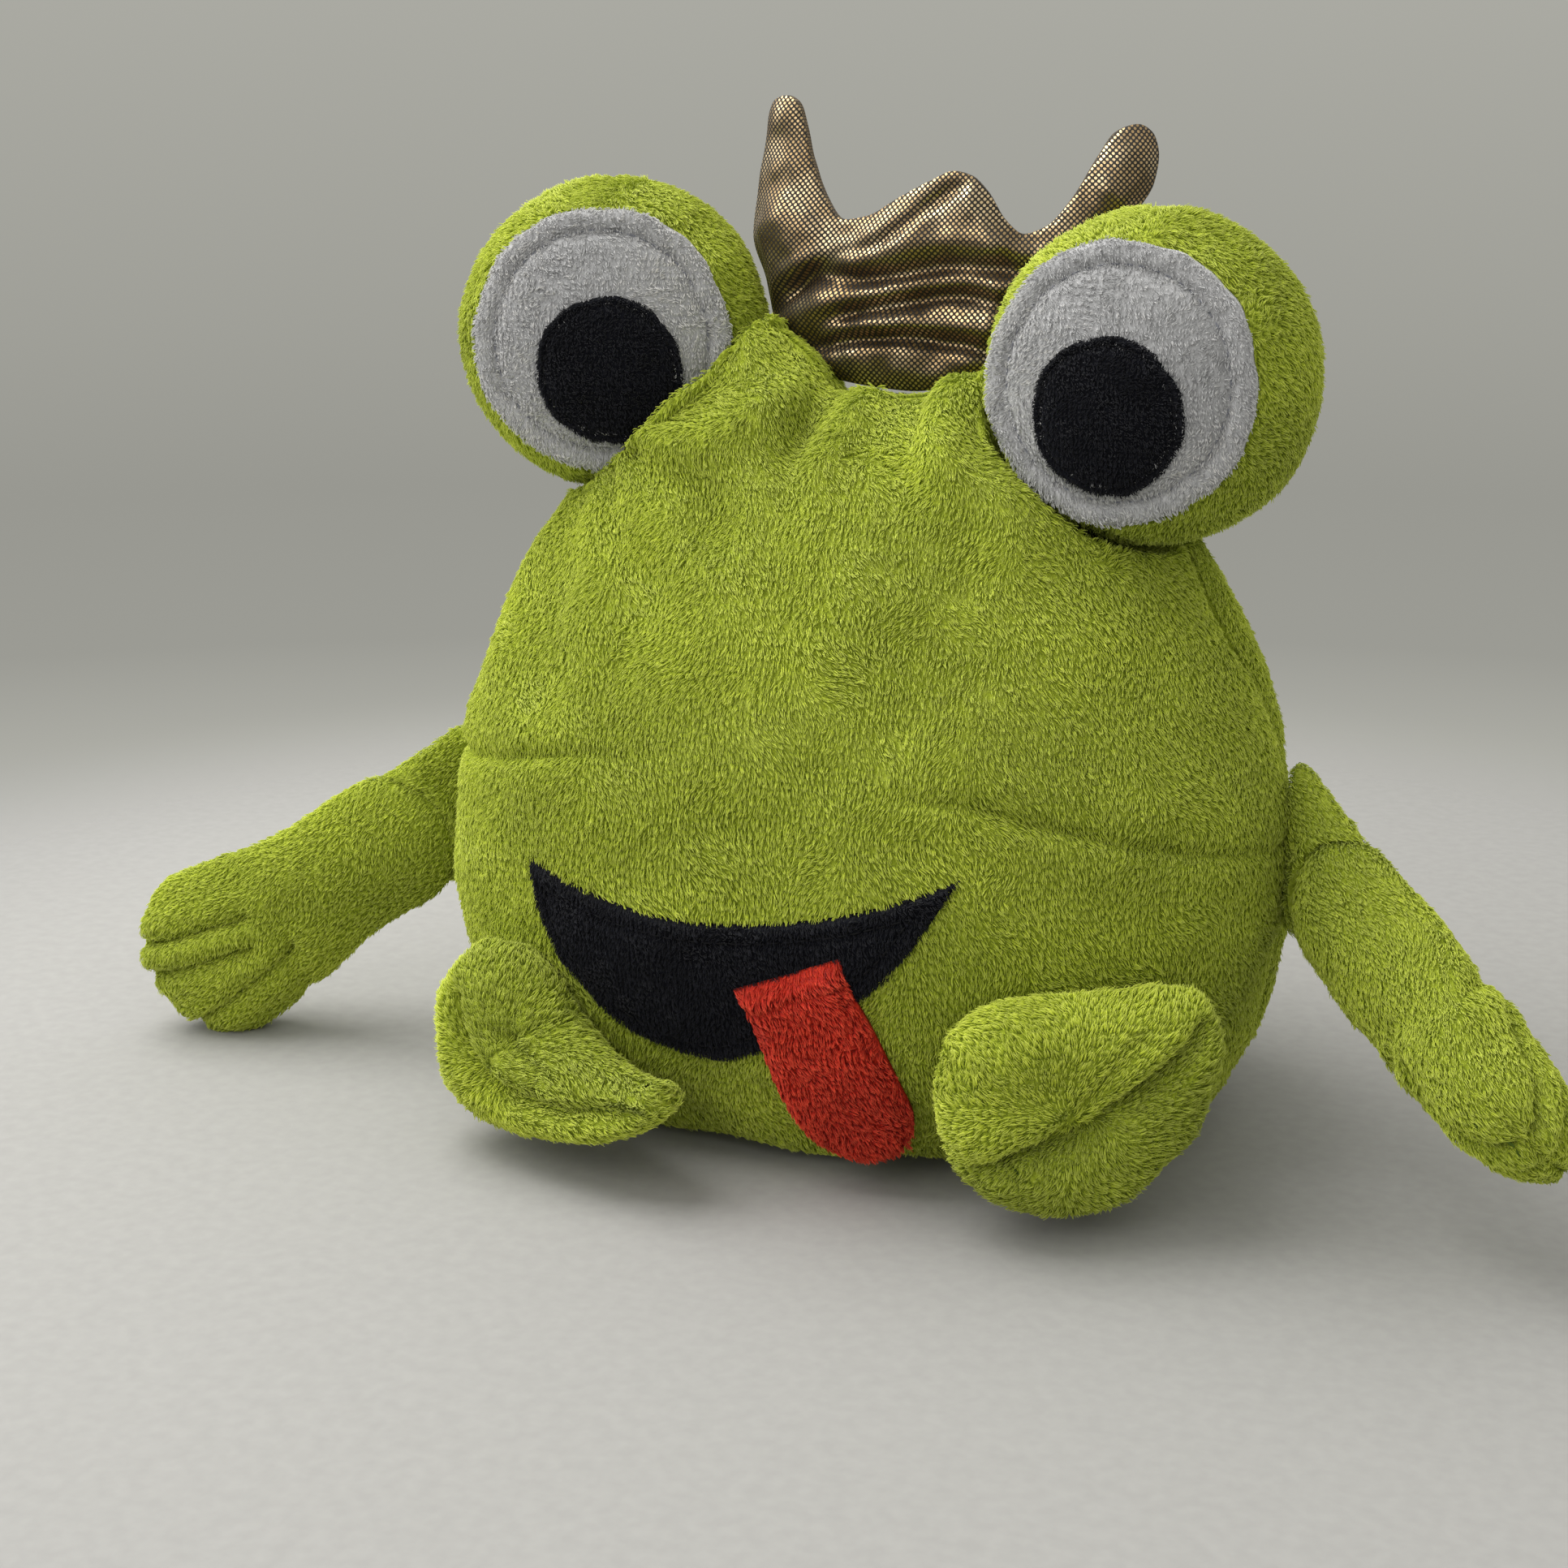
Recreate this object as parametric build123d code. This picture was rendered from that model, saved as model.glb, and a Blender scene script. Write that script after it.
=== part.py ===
from build123d import *
from math import cos, radians, sin
import os

# Plush frog hand puppet with a fabric crown. All sizes are in millimetres.
# The frog looks along -Y and +Z is up. "left" and "right" are the frog's own sides, so right is -X.
# The origin is the centre of the round hand opening, in the plane the puppet sits on.

# --- body -----------------------------------------------------------------------------------
SKIN = 2.5
# (height, half width, half depth) of the body's horizontal ellipses
BODY = (
    (0, 84, 54), (15, 98, 67), (40, 108.5, 78), (72, 112, 81), (104, 106, 75),
    (134, 93, 60), (158, 78, 44), (174, 60, 28), (184, 34, 13),
)
SIDE = 300                      # larger than the whole puppet, for cutting blocks

# --- hand opening and lining ----------------------------------------------------------------
OPENING_R = 40
HEM_WALL = 4
HEM_HEIGHT = 12
LINING_WALL = 1.5
LINING = ((12, 44, 44), (30, 50, 40), (75, 53, 37), (110, 49, 31), (138, 34, 20), (150, 14, 9))

# --- mouth and tongue -----------------------------------------------------------------------
PATCH = 1.2                     # felt patch thickness
THREAD = 0.8                    # width of a stitched line
THREAD_RISE = 0.5               # height of a stitched line above its fabric
MOUTH_RIGHT = (-66, 75)
MOUTH_LEFT = (47.5, 83.8)
MOUTH_UPPER = (-9, 68.2)
MOUTH_LOWER = ((-58.6, 53.5), (-38.8, 36.6), (-14, 31), (27.4, 53.9))
MOUTH_SEAM = 4                  # distance of the stitched line from the patch's edge
TONGUE_TOP = (7, 58)            # middle of the tongue's sewn edge, as (x, height)
TONGUE_LENGTH = 52
TONGUE_WIDTH = 30
TONGUE_TILT = 22                # the tongue hangs towards the frog's left
TONGUE_GAP = 2.2                # from the body to the back of the tongue
TONGUE_PANEL = 1.9
TONGUE_SEAM = 2.4                # distance of the stitched line from the tongue's edge

# --- eyes -----------------------------------------------------------------------------------
EYE_R = 41
EYE_POCKET_R = 43
EYE_SKIN = 2
EYE_FACE = 23.5                 # from the ball's centre to the rim plane of the white
EYE_DOME = 8                    # how far the stuffed face bulges past that plane
WHITE_R = 33.5
PUPIL_R = 19.3
FELT = 1.6
PUPIL_DROP = 7.2
WHITE_SEAM = 5.5                 # distance of the stitched ring from the disc's edge
PUPIL_SEAM = 2
EYES = {
    "right": dict(centre=(-72, 4, 198), yaw=15),
    "left": dict(centre=(74, -6, 193.5), yaw=-7),
}
EYE_PITCH = 2
PUPIL_IN = 2.6                  # each pupil sits nearer to the middle of the face

# --- crown ----------------------------------------------------------------------------------
CROWN_X = 8                     # middle of the crown
CROWN_Y = 10                    # its middle layer, at the middle of the crown
CROWN_BEND_R = 110              # the crown curves back towards its wings
CROWN_LAYER = 2
# outline as (x, height): up the right wing, over the three spikes, down the left wing
CROWN = (
    (-26, 190), (-30, 206), (-33.5, 214), (-40.8, 226), (-38, 243), (-36, 252), (-31.4, 258),
    (-25.6, 253), (-20, 240), (-12, 228), (-2, 229.5), (13, 238), (19.6, 240.4), (26, 236.5),
    (35, 225), (45, 230), (59, 247), (64.5, 250.8), (69.5, 246), (67, 236), (59.5, 228.5),
    (42, 218), (33, 206), (30.5, 191),
)
CROWN_LOW = (CROWN_X, 185.6)    # lowest point of its sewn edge

# --- arms -----------------------------------------------------------------------------------
SEAM_OUT = 5                    # from the body's side to the shoulder hinge line
SEAM_Y = -8
TAB_HALF_HEIGHT = 17
TAB_HALF_THICK = 3.8
PIVOT = 24                      # from the shoulder hinge line to the lift hinge, along the droop
ARM_ROOT_R = 18
ARM_GAP = 0.6
LIFT_DOWN, LIFT_UP = 30, 65     # travel of the lift hinge from rest, in degrees
ARM_SKIN = 2
# (distance from the lift hinge, half height, half thickness)
ARM = ((0, 18, 9), (18, 17.6, 10.5), (34, 19.3, 11.5), (48, 22.6, 12), (62, 24.3, 11.5))
HAND_TIP = 20
END_TURNS = (radians(30), radians(58), radians(82))      # rings of a limb's round end
FINGER_LINES = (-12, 0, 12)
FINGER_START = 44
FINGER_LENGTH = 34
ARMS = {
    "right": dict(height=67.5, forward=19, droop=30.5),
    "left": dict(height=78.5, forward=43, droop=27.5),
}

# --- feet -----------------------------------------------------------------------------------
HEEL_R = 16
FOOT_SKIN = 2
# (distance from the heel centre, half width, half thickness)
FOOT = ((0, 16, 16), (12, 26, 16), (26, 32, 15), (34, 30, 13.5))
TOE_TIP = 13
TOE_LINES = (-13, 0, 13)
TOE_START = 22
TOE_LENGTH = 20
FOOT_GAP = 2.2                  # clear of the body and of the felt mouth
FEET = {
    "right": dict(heel=(-50, -85), yaw=-22, splay=38),
    "left": dict(heel=(70, -79), yaw=30, splay=16),
}


def ellipse_loft(stations, grow=0.0):
    """A solid through horizontal ellipses given as (height, half width, half depth)."""
    return loft([Pos(Z=z) * Ellipse(a + grow, b + grow) for z, a, b in stations])


def paddle(stations, tip, shrink=0.0):
    """A soft limb along +X: round root about the origin, a flattened length and a round tip."""
    first, last = stations[0], stations[-1]
    root_length, tip_length = first[1] - shrink, tip - shrink
    rings = [(-root_length * sin(turn), *taper(first, turn, shrink)) for turn in reversed(END_TURNS)]
    rings += [(s, h - shrink, t - shrink) for s, h, t in stations]
    rings += [(last[0] + tip_length * sin(turn), *taper(last, turn, shrink)) for turn in END_TURNS]
    return loft([
        Plane(origin=(s, 0, 0), x_dir=(0, 0, 1), z_dir=(1, 0, 0)) * Ellipse(h, t)
        for s, h, t in rings
    ])


def taper(station, turn, shrink):
    """Half height and half thickness of a round end, a given turn past its widest ring."""
    return (station[1] - shrink) * cos(turn), (station[2] - shrink) * cos(turn)


def half_space(direction):
    """A large block on one side of the origin's plane."""
    return Pos(*(SIDE * d for d in direction)) * Box(2 * SIDE, 2 * SIDE, 2 * SIDE)


def above(height):
    return Pos(Z=height) * half_space((0, 0, 1))


def in_front(outline, depth=SIDE):
    """An outline drawn in X and Z, pushed forwards from the body's middle plane."""
    return extrude(outline, depth)


def stitched_line(under, over, wide, narrow):
    """A narrow raised band between two shells, which follows an outline inside its edge."""
    return (over & in_front(wide)) - under - in_front(narrow)


def inset(points, amount):
    """Move the corners of a closed anticlockwise outline inwards, each along its bisector."""
    moved = []
    for i, point in enumerate(points):
        here = Vector(*point)
        before = (here - Vector(*points[i - 1])).normalized()
        after = (Vector(*points[(i + 1) % len(points)]) - here).normalized()
        normal = before.rotate(Axis.Z, 90)
        bisector = (normal + after.rotate(Axis.Z, 90)).normalized()
        moved.append(here + bisector * (amount / bisector.dot(normal)))
    return moved


def save(node, shape):
    export_step(shape, f"parts/{node}.step")


def half_width_at(height):
    """Half width of the body by straight interpolation between its ellipses."""
    for (z0, a0, _), (z1, a1, _) in zip(BODY, BODY[1:]):
        if z0 <= height <= z1:
            return a0 + (a1 - a0) * (height - z0) / (z1 - z0)


def make_body():
    """Plush skin in two panels, a base panel, stuffing, the hand lining and the opening's hem."""
    outer = ellipse_loft(BODY)
    inner = ellipse_loft(BODY, -SKIN) & above(SKIN) - above(BODY[-1][0] - SKIN)
    pockets = [Pos(*eye["centre"]) * Sphere(EYE_POCKET_R) for eye in EYES.values()]
    hem_hole = Cylinder(OPENING_R + HEM_WALL, 2 * HEM_HEIGHT)
    lining = ellipse_loft(LINING)
    cavity = ellipse_loft(LINING, -LINING_WALL) - above(LINING[-1][0] - LINING_WALL)

    base = outer - above(SKIN) - hem_hole
    skin = (outer - inner) & above(SKIN)
    for pocket in pockets:
        skin -= pocket
        inner -= pocket
    save("body_front_panel", skin & half_space((0, -1, 0)))
    save("body_back_panel", skin & half_space((0, 1, 0)))
    save("body_base_panel", base)
    save("body_stuffing", inner - hem_hole - lining)
    save("hand_lining", lining - cavity)
    save("opening_hem", (hem_hole - Cylinder(OPENING_R, 2 * HEM_HEIGHT)) & above(0))
    return outer


def mouth_outline(margin=0.0):
    """A smile: one arc above, a curve below, both drawn in by the margin."""
    points = inset([MOUTH_RIGHT, *MOUTH_LOWER, MOUTH_LEFT, MOUTH_UPPER], margin)
    *lower, middle = points
    upper = ThreePointArc(lower[-1], middle, lower[0])
    return Plane.XZ * make_face([Spline(*lower), upper])


def make_mouth(outer):
    patch = ellipse_loft(BODY, PATCH)
    thread = ellipse_loft(BODY, PATCH + THREAD_RISE)
    wide, narrow = mouth_outline(MOUTH_SEAM), mouth_outline(MOUTH_SEAM + THREAD)
    save("mouth_patch", (patch - outer) & in_front(mouth_outline()))
    save("mouth_stitching", stitched_line(patch, thread, wide, narrow))


def tongue_outline():
    """A strip with a square sewn end and a round tip, hanging at a tilt."""
    half = TONGUE_WIDTH / 2
    straight = TONGUE_LENGTH - half
    strip = Pos(0, -straight / 2) * Rectangle(TONGUE_WIDTH, straight) + Pos(0, -straight) * Circle(half)
    return Plane.XZ * Pos(*TONGUE_TOP) * Rot(Z=TONGUE_TILT) * strip


def make_tongue():
    outline = tongue_outline()
    shells = [
        ellipse_loft(BODY, TONGUE_GAP + rise)
        for rise in (0, TONGUE_PANEL, 2 * TONGUE_PANEL, 2 * TONGUE_PANEL + THREAD_RISE)
    ]
    cut = in_front(outline)
    wide, narrow = offset(outline, -TONGUE_SEAM), offset(outline, -TONGUE_SEAM - THREAD)
    save("tongue_back_panel", (shells[1] - shells[0]) & cut)
    save("tongue_front_panel", (shells[2] - shells[1]) & cut)
    save("tongue_stitching", stitched_line(shells[2], shells[3], wide, narrow))


def make_eye(side, centre, yaw):
    """A stuffed ball with a domed white and pupil. Local -Y is the way the eye looks."""
    place = Pos(*centre) * Rot(Z=yaw) * Rot(X=-EYE_PITCH)
    inward = PUPIL_IN if side == "right" else -PUPIL_IN
    dome_r = (WHITE_R ** 2 + EYE_DOME ** 2) / (2 * EYE_DOME)
    dome_y = -(EYE_FACE + EYE_DOME - dome_r)
    behind_rim = Pos(Y=-EYE_FACE) * half_space((0, 1, 0))

    def dome(rise):
        return Pos(Y=dome_y) * Sphere(dome_r + rise)

    def disc(radius, x=0, z=0):
        return Pos(x, -SIDE / 2, z) * Rot(X=90) * Cylinder(radius, SIDE)

    def ring(radius, x=0, z=0):
        return disc(radius + THREAD / 2, x, z) - disc(radius - THREAD / 2, x, z)

    core = Sphere(EYE_R - EYE_SKIN)
    shell = (Sphere(EYE_R) - core) & behind_rim
    pupil_at = (inward, -PUPIL_DROP)
    white = (dome(FELT) - dome(0)) & disc(WHITE_R)
    pupil = (dome(2 * FELT) - dome(FELT)) & disc(PUPIL_R, *pupil_at)
    white_thread = (dome(FELT + THREAD_RISE) - dome(FELT)) & ring(WHITE_R - WHITE_SEAM)
    pupil_thread = (dome(2 * FELT + THREAD_RISE) - dome(2 * FELT)) & ring(PUPIL_R - PUPIL_SEAM, *pupil_at)
    save(f"{side}_eye_ball", place * shell)
    save(f"{side}_eye_stuffing", place * (core & dome(0)))
    save(f"{side}_eye_white", place * white)
    save(f"{side}_eye_pupil", place * pupil)
    save(f"{side}_eye_white_stitching", place * (white_thread - disc(PUPIL_R + 0.2, *pupil_at)))
    save(f"{side}_eye_pupil_stitching", place * pupil_thread)


def make_crown():
    """Two foil panels over wadding, cut to one outline and curved back at the wings."""
    top = Spline(*CROWN)
    base = ThreePointArc(CROWN[-1], CROWN_LOW, CROWN[0])
    outline = Plane.XZ * make_face([top, base])
    cut = Pos(Y=SIDE / 2) * extrude(outline, SIDE)
    axis = Pos(CROWN_X, CROWN_Y + CROWN_BEND_R, CROWN_LOW[1])

    def drum(out):
        return axis * Cylinder(CROWN_BEND_R + out, SIDE)

    half = CROWN_LAYER / 2
    save("crown_front_panel", (drum(half + CROWN_LAYER) - drum(half)) & cut)
    save("crown_wadding", (drum(half) - drum(-half)) & cut)
    save("crown_back_panel", (drum(-half) - drum(-half - CROWN_LAYER)) & cut)


def make_arm(side, height, forward, droop):
    """A shoulder tab that swings on the side seam and a stuffed arm that lifts on the tab."""
    outward = 1 if side == "left" else -1
    seam = Pos(outward * (half_width_at(height) + SEAM_OUT), SEAM_Y, height)
    heading = -forward if side == "left" else 180 + forward
    tab_place = seam * Rot(Z=heading)
    arm_place = tab_place * Rot(Y=droop) * Pos(X=PIVOT)

    half = TAB_HALF_HEIGHT / cos(radians(droop))
    out_x, down = PIVOT * cos(radians(droop)), PIVOT * sin(radians(droop))
    corners = (0, half), (0, -half), (out_x, -down - half), (out_x, half - down)
    fold = extrude(Plane.XZ * make_face(Polyline(*corners, close=True)), TAB_HALF_THICK, both=True)
    clear = ARM_ROOT_R + ARM_GAP
    pivot = Rot(Y=droop) * Pos(X=PIVOT)
    tab = fold + Cylinder(TAB_HALF_THICK, 2 * half) - pivot * Rot(X=90) * Cylinder(clear, SIDE)
    for turn in (LIFT_DOWN, -LIFT_UP):
        tab -= pivot * Rot(Y=turn) * Pos(X=SIDE / 4) * Box(SIDE / 2, SIDE, 2 * clear)
    save(f"{side}_shoulder_tab", tab_place * tab)

    outer = paddle(ARM, HAND_TIP)
    core = paddle(ARM, HAND_TIP, ARM_SKIN)
    skin = outer - core
    near, far = half_space((0, -1, 0)), half_space((0, 1, 0))
    front, back = (near, far) if side == "left" else (far, near)
    save(f"{side}_arm_front_panel", arm_place * (skin & front))
    save(f"{side}_arm_back_panel", arm_place * (skin & back))
    save(f"{side}_arm_stuffing", arm_place * core)
    lines = [
        Pos(FINGER_START + FINGER_LENGTH / 2, 0, z) * Box(FINGER_LENGTH, SIDE, THREAD)
        for z in FINGER_LINES
    ]
    proud = paddle(ARM, HAND_TIP, -THREAD_RISE) - outer
    threads = [proud & line for line in lines]
    save(f"{side}_finger_stitching", arm_place * Compound(children=solids_of(threads)))


def solids_of(shapes):
    return [solid for shape in shapes for solid in shape.solids()]


def make_foot(side, heel, yaw, splay):
    """A stuffed foot standing on its round heel in front of the belly, toes up."""
    outward = 1 if side == "left" else -1
    upright = Rot(Z=yaw) * Rot(Y=-90 + outward * splay)
    place = Pos(*heel, HEEL_R) * upright
    clear_of_body = ellipse_loft(BODY, FOOT_GAP)
    outer = place * paddle(FOOT, TOE_TIP) - clear_of_body
    core = place * paddle(FOOT, TOE_TIP, FOOT_SKIN) - ellipse_loft(BODY, FOOT_GAP + FOOT_SKIN)
    skin = outer - core
    save(f"{side}_foot_upper", skin & place * half_space((0, -1, 0)))
    save(f"{side}_foot_sole", skin & place * half_space((0, 1, 0)))
    save(f"{side}_foot_stuffing", core)
    proud = place * (paddle(FOOT, TOE_TIP, -THREAD_RISE) - paddle(FOOT, TOE_TIP))
    front = place * half_space((0, -1, 0))
    lines = [
        place * Pos(TOE_START + TOE_LENGTH / 2, 0, z) * Box(TOE_LENGTH, SIDE, THREAD)
        for z in TOE_LINES
    ]
    threads = [proud & line & front for line in lines]
    save(f"{side}_toe_stitching", Compound(children=solids_of(threads)))


os.makedirs("parts", exist_ok=True)
body_outer = make_body()
make_mouth(body_outer)
make_tongue()
for side, eye in EYES.items():
    make_eye(side, **eye)
make_crown()
for side, arm in ARMS.items():
    make_arm(side, **arm)
for side, foot in FEET.items():
    make_foot(side, **foot)
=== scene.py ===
from math import atan2, cos, pi, radians, sin

import bmesh
import bpy
import numpy as np
from mathutils import Matrix, Vector
from mathutils.bvhtree import BVHTree
from mathutils.geometry import delaunay_2d_cdt


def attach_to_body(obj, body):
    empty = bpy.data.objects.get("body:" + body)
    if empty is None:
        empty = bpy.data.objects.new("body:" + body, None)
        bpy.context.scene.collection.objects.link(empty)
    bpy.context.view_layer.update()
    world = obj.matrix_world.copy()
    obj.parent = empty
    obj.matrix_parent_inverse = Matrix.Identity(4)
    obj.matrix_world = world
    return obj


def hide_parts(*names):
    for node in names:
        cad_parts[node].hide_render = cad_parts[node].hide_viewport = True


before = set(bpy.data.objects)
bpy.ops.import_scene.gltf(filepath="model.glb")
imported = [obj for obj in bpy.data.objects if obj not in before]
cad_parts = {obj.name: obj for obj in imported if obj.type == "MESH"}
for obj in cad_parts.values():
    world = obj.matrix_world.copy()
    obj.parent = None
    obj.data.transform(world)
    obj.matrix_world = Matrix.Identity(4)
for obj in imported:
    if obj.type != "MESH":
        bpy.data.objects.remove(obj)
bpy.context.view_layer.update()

# Shapes are worked out in millimetres in the part's own frame (the frog looks along -Y, +Z is up)
# and turned into metres when a mesh is made.
MM = 0.001
SEED = 11


# ---------------------------------------------------------------------------------- numbers
def smooth(edge0, edge1, x):
    """0 below edge0, 1 above edge1, with a soft change between them."""
    t = np.clip((x - edge0) / (edge1 - edge0), 0, 1)
    return t * t * (3 - 2 * t)


def bump(x, centre, width):
    return np.exp(-((x - centre) / width) ** 2)


def unit(v):
    return v / np.maximum(np.linalg.norm(v, axis=-1, keepdims=True), 1e-9)


def lattice(ix, iy, iz, seed):
    """A repeatable random number from 0 to 1 for each point of a whole-number grid."""
    h = (ix * 374761393 + iy * 668265263 + iz * 2147483647 + seed * 1274126177) & 0xFFFFFFFF
    h = ((h ^ (h >> 13)) * 1274126177) & 0xFFFFFFFF
    return ((h ^ (h >> 16)) & 0xFFFFFF) / float(0xFFFFFF)


def noise(p, size, seed=0):
    """Smooth value noise from -1 to 1 at points p, with features of about that size."""
    q = np.asarray(p, float) / size
    base = np.floor(q).astype(np.int64)
    f = q - base
    f = f * f * (3 - 2 * f)
    total = np.zeros(q.shape[:-1])
    for dx in (0, 1):
        for dy in (0, 1):
            for dz in (0, 1):
                weight = (
                    (f[..., 0] if dx else 1 - f[..., 0])
                    * (f[..., 1] if dy else 1 - f[..., 1])
                    * (f[..., 2] if dz else 1 - f[..., 2])
                )
                total += weight * lattice(
                    base[..., 0] + dx, base[..., 1] + dy, base[..., 2] + dz, seed + SEED
                )
    return 2 * total - 1


def fbm(p, size, octaves=3, seed=0):
    total, amount = 0, 1.0
    for k in range(octaves):
        total = total + amount * noise(p, size / 2 ** k, seed + 17 * k)
        amount *= 0.5
    return total


def turn_z(degrees):
    a = radians(degrees)
    return np.array([[cos(a), -sin(a), 0], [sin(a), cos(a), 0], [0, 0, 1]])


def turn_x(degrees):
    a = radians(degrees)
    return np.array([[1, 0, 0], [0, cos(a), -sin(a)], [0, sin(a), cos(a)]])


def turn_y(degrees):
    a = radians(degrees)
    return np.array([[cos(a), 0, sin(a)], [0, 1, 0], [-sin(a), 0, cos(a)]])


# ---------------------------------------------------------------------------------- meshes
def make_object(name, points, faces, material, uv=None):
    """A smooth-shaded mesh object from points in millimetres."""
    mesh = bpy.data.meshes.new(name)
    mesh.from_pydata((np.asarray(points).reshape(-1, 3) * MM).tolist(), [], faces)
    mesh.polygons.foreach_set("use_smooth", [True] * len(mesh.polygons))
    if uv is not None:
        layer = mesh.uv_layers.new(name="UVMap")
        index = np.empty(len(mesh.loops), dtype=np.int32)
        mesh.loops.foreach_get("vertex_index", index)
        layer.data.foreach_set("uv", np.asarray(uv).reshape(-1, 2)[index].ravel())
    mesh.materials.append(material)
    mesh.update()
    obj = bpy.data.objects.new(name, mesh)
    bpy.context.scene.collection.objects.link(obj)
    return obj


def attach(obj, body, slot, *nodes):
    """The piece rides on a body and stands for the CAD nodes, if any; its material slot name is not used."""
    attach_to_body(obj, body)
    if nodes:
        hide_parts(*nodes)


def grid_faces(rows, columns, closed=True, offset=0, flip=False):
    """Quads between neighbouring rows of a grid whose rows may close on themselves."""
    faces = []
    for i in range(rows - 1):
        for j in range(columns if closed else columns - 1):
            k = (j + 1) % columns
            a, b = offset + i * columns + j, offset + i * columns + k
            quad = (a, b, b + columns, a + columns)
            faces.append(quad[::-1] if flip else quad)
    return faces


def capsule_chain(points, normals, radius, length, gap, spread=0.12, seed=0):
    """Stitches: short rounded bars laid end to end along a path, each bowed a little out of the cloth."""
    points = np.asarray(points, float)
    steps = np.linalg.norm(np.diff(points, axis=0), axis=1)
    along = np.concatenate([[0], np.cumsum(steps)])
    count = max(1, int(along[-1] / (length + gap)))
    pitch = along[-1] / count
    rng = np.random.default_rng(SEED + seed)
    verts, faces = [], []
    around, rings = 6, 7
    for k in range(count):
        s = np.linspace(k * pitch + gap / 2, (k + 1) * pitch - gap / 2, rings)
        centre = np.stack([np.interp(s, along, points[:, i]) for i in range(3)], 1)
        up = unit(np.stack([np.interp(s, along, normals[:, i]) for i in range(3)], 1))
        tangent = unit(np.gradient(centre, axis=0))
        side = unit(np.cross(up, tangent))
        bow = np.sin(np.linspace(0, pi, rings))
        thick = radius * (0.35 + 0.65 * bow ** 0.5) * (1 + spread * rng.uniform(-1, 1))
        centre = centre + up * ((bow - 0.65) * radius)[:, None] + side * radius * rng.uniform(-0.3, 0.3)
        start = len(verts)
        for i in range(rings):
            for a in np.arange(around) * 2 * pi / around:
                verts.append(centre[i] + thick[i] * (cos(a) * side[i] + sin(a) * up[i]))
        faces += grid_faces(rings, around, True, start)
        faces.append(tuple(range(start, start + around))[::-1])
        faces.append(tuple(range(start + (rings - 1) * around, start + rings * around)))
    return verts, faces


def stitch_object(name, runs, radius, length, gap, material, seed=0):
    """One object of stitches along several runs, each (points, normals)."""
    verts, faces = [], []
    for k, (points, normals) in enumerate(runs):
        v, f = capsule_chain(points, normals, radius, length, gap, seed=seed + k)
        faces += [tuple(i + len(verts) for i in face) for face in f]
        verts += v
    return make_object(name, verts, faces, material)


# ---------------------------------------------------------------------------------- materials
class Graph:
    """A short way to build a node material."""

    def __init__(self, name):
        self.material = bpy.data.materials.new(name)
        self.material.use_nodes = True
        self.tree = self.material.node_tree
        self.shader = self.tree.nodes["Principled BSDF"]

    def node(self, kind, **values):
        made = self.tree.nodes.new("ShaderNode" + kind)
        for key, value in values.items():
            if hasattr(made, key):
                setattr(made, key, value)
            else:
                made.inputs[key].default_value = value
        return made

    def link(self, source, target):
        self.tree.links.new(source, target)

    def set(self, **values):
        for key, value in values.items():
            self.shader.inputs[key.replace("_", " ")].default_value = value

    def noise(self, where, size, detail=2.0, stretch=None, distortion=0.0):
        """Noise with features of about that size in metres, stretched along the object's axes."""
        if stretch:
            mapping = self.node("Mapping")
            mapping.inputs["Scale"].default_value = stretch
            self.link(where, mapping.inputs["Vector"])
            where = mapping.outputs["Vector"]
        made = self.node("TexNoise", Scale=1 / size, Detail=detail, Distortion=distortion)
        self.link(where, made.inputs["Vector"])
        return made.outputs["Fac"]

    def ramp(self, value, stops):
        made = self.node("ValToRGB")
        elements = made.color_ramp.elements
        while len(elements) < len(stops):
            elements.new(0.5)
        for element, (position, color) in zip(elements, stops):
            element.position = position
            element.color = (*color, 1)
        self.link(value, made.inputs["Fac"])
        return made.outputs["Color"]

    def math(self, operation, a, b):
        made = self.node("Math", operation=operation)
        for socket, value in zip(made.inputs, (a, b)):
            if isinstance(value, (int, float)):
                socket.default_value = value
            else:
                self.link(value, socket)
        return made.outputs[0]

    def mix(self, factor, a, b, blend="MIX"):
        made = self.node("Mix", data_type="RGBA", blend_type=blend)
        for index, value in ((0, factor), (6, a), (7, b)):
            if isinstance(value, (int, float)):
                made.inputs[index].default_value = value
            elif isinstance(value, tuple):
                made.inputs[index].default_value = (*value, 1)
            else:
                self.link(value, made.inputs[index])
        return made.outputs[2]

    def bump(self, height, distance, strength=1.0, base=None):
        made = self.node("Bump", Strength=strength, Distance=distance)
        self.link(height, made.inputs["Height"])
        if base is not None:
            self.link(base, made.inputs["Normal"])
        return made.outputs["Normal"]

    def finish(self, color, roughness, normal):
        self.link(color, self.shader.inputs["Base Color"])
        if isinstance(roughness, tuple):
            source, low, high = roughness
            spread = self.node("MapRange")
            self.link(source, spread.inputs["Value"])
            spread.inputs["To Min"].default_value = low
            spread.inputs["To Max"].default_value = high
            roughness = spread.outputs["Result"]
        self.link(roughness, self.shader.inputs["Roughness"])
        self.link(normal, self.shader.inputs["Normal"])
        return self.material


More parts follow.
